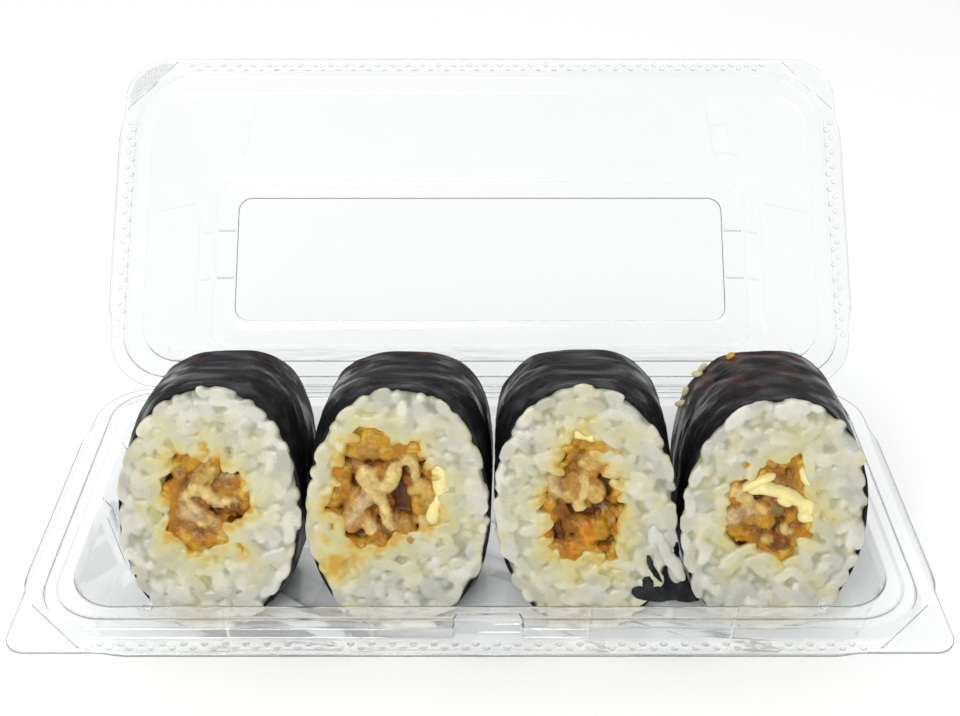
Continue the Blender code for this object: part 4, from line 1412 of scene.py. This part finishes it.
# A strand of the dressing: depth behind the cut, half width and path.
CREAM_FOLDS = {
    2: [
        (-0.2, 3.0, [(9.2, 43.6), (10.2, 40), (9.6, 36)]),
        (-0.2, 2.2, [(9.2, 35.4), (8.4, 31.8), (7.6, 28.8)]),
    ],
    3: [
        (0.0, 1.9, [(-3.0, 51.6), (0.6, 51.4), (2.4, 50.2)]),
    ],
    4: [
        (-0.15, 1.2, [(-8.0, 37.2), (-4.1, 39.6), (-0.8, 40.8)]),
        (-0.2, 1.8, [(-6.4, 36.8), (-2.7, 37.4), (1.6, 36.4), (5.0, 34.6), (7.4, 32.8)]),
        (-0.2, 2.9, [(6.8, 33.3), (8.6, 32.2)]),
        (0.1, 1.6, [(6.2, 29.9), (9.8, 30.2)]),
        (0.1, 1.6, [(3.6, 33.8), (1.2, 34.8)]),
        (-0.1, 2.3, [(9.4, 36.8), (7.4, 39.8), (6.0, 42.6)]),
    ],
}


def cream_piece(roll, finish):
    """The strands of dressing at a cut, run together into one smooth piece."""
    color = np.array(FOOD_COLORS["cream"])
    parts = []
    for depth, half_width, path in CREAM_FOLDS[roll["number"]]:
        parts.append((*fold(path, depth, half_width, half_width * 0.9 + 0.5), color))
    points, faces, tint, normals = fused(f"cream_{roll['number']}", parts, CREAM_VOXEL, 3)
    points = points + normals * (0.15 * noise_at(points / 3, 7))[:, None]
    tint = tint * (1 + 0.1 * noise_at(points / 3, 31))[:, None]
    places = placed(roll, *points.T, RICE_CLEARANCE)
    piece = mesh_piece(f"cream_dressing_{roll['number']}", places, faces, "tray", finish)
    paint(piece, tint)
    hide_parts(f"cream_{roll['number']}")


egg_cream = sauce_material("egg_cream", 0.32, 0.25, 0.3)
for roll in ROLLS[1:]:
    cream_piece(roll, egg_cream)

# Torn bits: scraps of seaweed that the knife dragged out at the third roll's foot, a thin dark sheet in the
# seaweed's finish that stands between that roll and the fourth, and a loose tail of rice beside it.
# A torn scrap: half width and path.
SCRAPS = [
    (0.7, [(14.4, 20.6), (15.2, 17.6), (17.4, 13.8)]),
    (1.7, [(11.2, 11.4), (13.8, 10.4), (17.2, 11.2)]),
    (1.3, [(14.2, 11.4), (14.3, 13.4), (14.0, 14.6)]),
]
SCRAP_FRONT = -0.55
SCRAP_DEPTH = 0.35
FLAP_LEFT = [(14.5, 6.5), (16.8, 11), (19.4, 17), (21.0, 22)]
FLAP_RIGHT = [(27.0, 6.5), (24.9, 11), (22.6, 17), (21.9, 22)]
FLAP_DEPTH = 3.2
FLAP_ROWS = 24
FLAP_COLUMNS = 14
TAIL_GRAINS = 11
RICE_TAIL = [(16.4, 26.6), (17.9, 22.6), (20.0, 18.8), (21.4, 15.4)]


def seaweed_flap():
    """The flap between its two edges, wavy and as thin as the sheet, as points in face axes and faces."""
    rows = []
    for (left, v), (right, _) in zip(smooth_path(FLAP_LEFT, FLAP_ROWS), smooth_path(FLAP_RIGHT, FLAP_ROWS)):
        u = np.linspace(left, right, FLAP_COLUMNS)
        front = np.stack((u, np.full_like(u, v), FLAP_DEPTH + 0.4 * np.sin(0.9 * u + 0.3 * v)), axis=-1)
        rows.append(np.concatenate((front, front[::-1] + (0, 0, NORI_THICKNESS))))
    around = 2 * FLAP_COLUMNS
    faces = tube_faces(FLAP_ROWS, around, closed=False)
    faces.append(tuple(range(around))[::-1])
    faces.append(tuple(range((FLAP_ROWS - 1) * around, FLAP_ROWS * around)))
    return np.concatenate(rows), faces


def seaweed_scraps(roll, finish):
    """The torn scraps and the flap, with ragged edges."""
    parts = []
    scraps = [fold(path, SCRAP_FRONT, half_width, SCRAP_DEPTH) for half_width, path in SCRAPS]
    for points, scrap_faces in [*scraps, seaweed_flap()]:
        ragged = points + 0.3 * np.stack([noise_at(points / 1.1, seed) for seed in (3, 5, 7)], axis=-1)
        streak = np.clip(0.35 + 0.8 * noise_at(points / (1.5, 4, 2), 9), 0, 1)[:, None]
        parts.append((ragged, scrap_faces, NORI_DARK + (NORI_STREAK_AND_SHEEN - NORI_DARK) * streak))
    points, faces, tints = joined(parts)
    places = placed(roll, *points.T, NORI_THICKNESS)
    piece = mesh_piece("seaweed_scraps", places, faces, "tray", finish, 70)
    paint(piece, tints)
    keep_numbers(piece, "shine", "FLOAT", "value", np.full(len(piece.data.vertices), 0.15))


def rice_tail(roll, finish):
    """Grains that hang together in a row at the foot of the roll."""
    draw = random.Random(55)
    parts = []
    line = smooth_path(RICE_TAIL, TAIL_GRAINS)
    for spot, along in zip(line, np.gradient(line, axis=0)):
        spin = math.atan2(along[1], along[0]) + draw.uniform(-0.6, 0.6)
        tint = RICE_GREY + (RICE_WHITE - RICE_GREY) * draw.uniform(0.1, 0.8)
        place = (spot[0] + draw.uniform(-1, 1), spot[1], draw.uniform(0.4, 0.9))
        lump = grain(draw, place, spin, draw.uniform(-0.3, 0.3))
        parts.append((lump, GRAIN_FACES, tint))
    points, faces, tint, _ = fused("rice_tail", parts, RICE_VOXEL, 2)
    paint(mesh_piece("rice_tail", placed(roll, *points.T), faces, "tray", finish), tint)


seaweed_scraps(ROLLS[2], toasted_seaweed)
rice_tail(ROLLS[2], cooked_rice)

# The studio: a plain pale floor, three broad soft lights round the tray, and the camera where the
# photo was taken from.
FLOOR_SIZE = 6.0
FLOOR_LEVEL_BELOW = 0.0003
floor_material, _, floor_shader = new_material("studio_floor")
set_sockets(floor_shader, {
    "Base Color": (0.96, 0.96, 0.955, 1),
    "Roughness": 0.9,
    "Specular IOR Level": 0.1,
})
floor_mesh = bmesh.new()
bmesh.ops.create_grid(floor_mesh, x_segments=4, y_segments=4, size=FLOOR_SIZE / 2)
floor = in_scene("studio_floor", finished_mesh("studio_floor", floor_mesh), floor_material)
floor.location.z = -FLOOR_LEVEL_BELOW

world = bpy.data.worlds.new("studio")
bpy.context.scene.world = world
world.use_nodes = True
set_sockets(world.node_tree.nodes["Background"], {"Color": (0.98, 0.985, 1.0, 1), "Strength": 0.52})
LIT_SPOT = Vector((0, 0.02, 0.03))


def soft_light(name, place, size, watts):
    """A broad rectangular light that faces the tray."""
    lamp = bpy.data.lights.new(name, "AREA")
    lamp.shape = "RECTANGLE"
    lamp.size, lamp.size_y = size
    lamp.energy = watts
    made = bpy.data.objects.new(name, lamp)
    made.location = place
    made.rotation_euler = (LIT_SPOT - Vector(place)).to_track_quat("-Z", "Y").to_euler()
    bpy.context.scene.collection.objects.link(made)


soft_light("soft_top", place=(0.1, 0.35, 1.5), size=(1.5, 1.2), watts=3)
soft_light("soft_back", place=(0, 1.25, 1.3), size=(2.2, 1.1), watts=6.5)
soft_light("soft_front", place=(-0.45, -1.2, 1.1), size=(1.1, 0.8), watts=20)

CAMERA_PLACE = (0, -0.2506, 0.2315)
CAMERA_PITCH = math.radians(56)
SENSOR = 36
FOCAL_PIXELS = 1305
PHOTO_WIDTH = 960
camera_data = bpy.data.cameras.new("camera")
camera_data.sensor_width = SENSOR
camera_data.lens = SENSOR * FOCAL_PIXELS / PHOTO_WIDTH
camera_data.clip_start = 0.01
camera = bpy.data.objects.new("camera", camera_data)
camera.location = CAMERA_PLACE
camera.rotation_euler = (CAMERA_PITCH, 0, 0)
bpy.context.scene.collection.objects.link(camera)
bpy.context.scene.camera = camera
bpy.context.scene.view_settings.view_transform = "Standard"
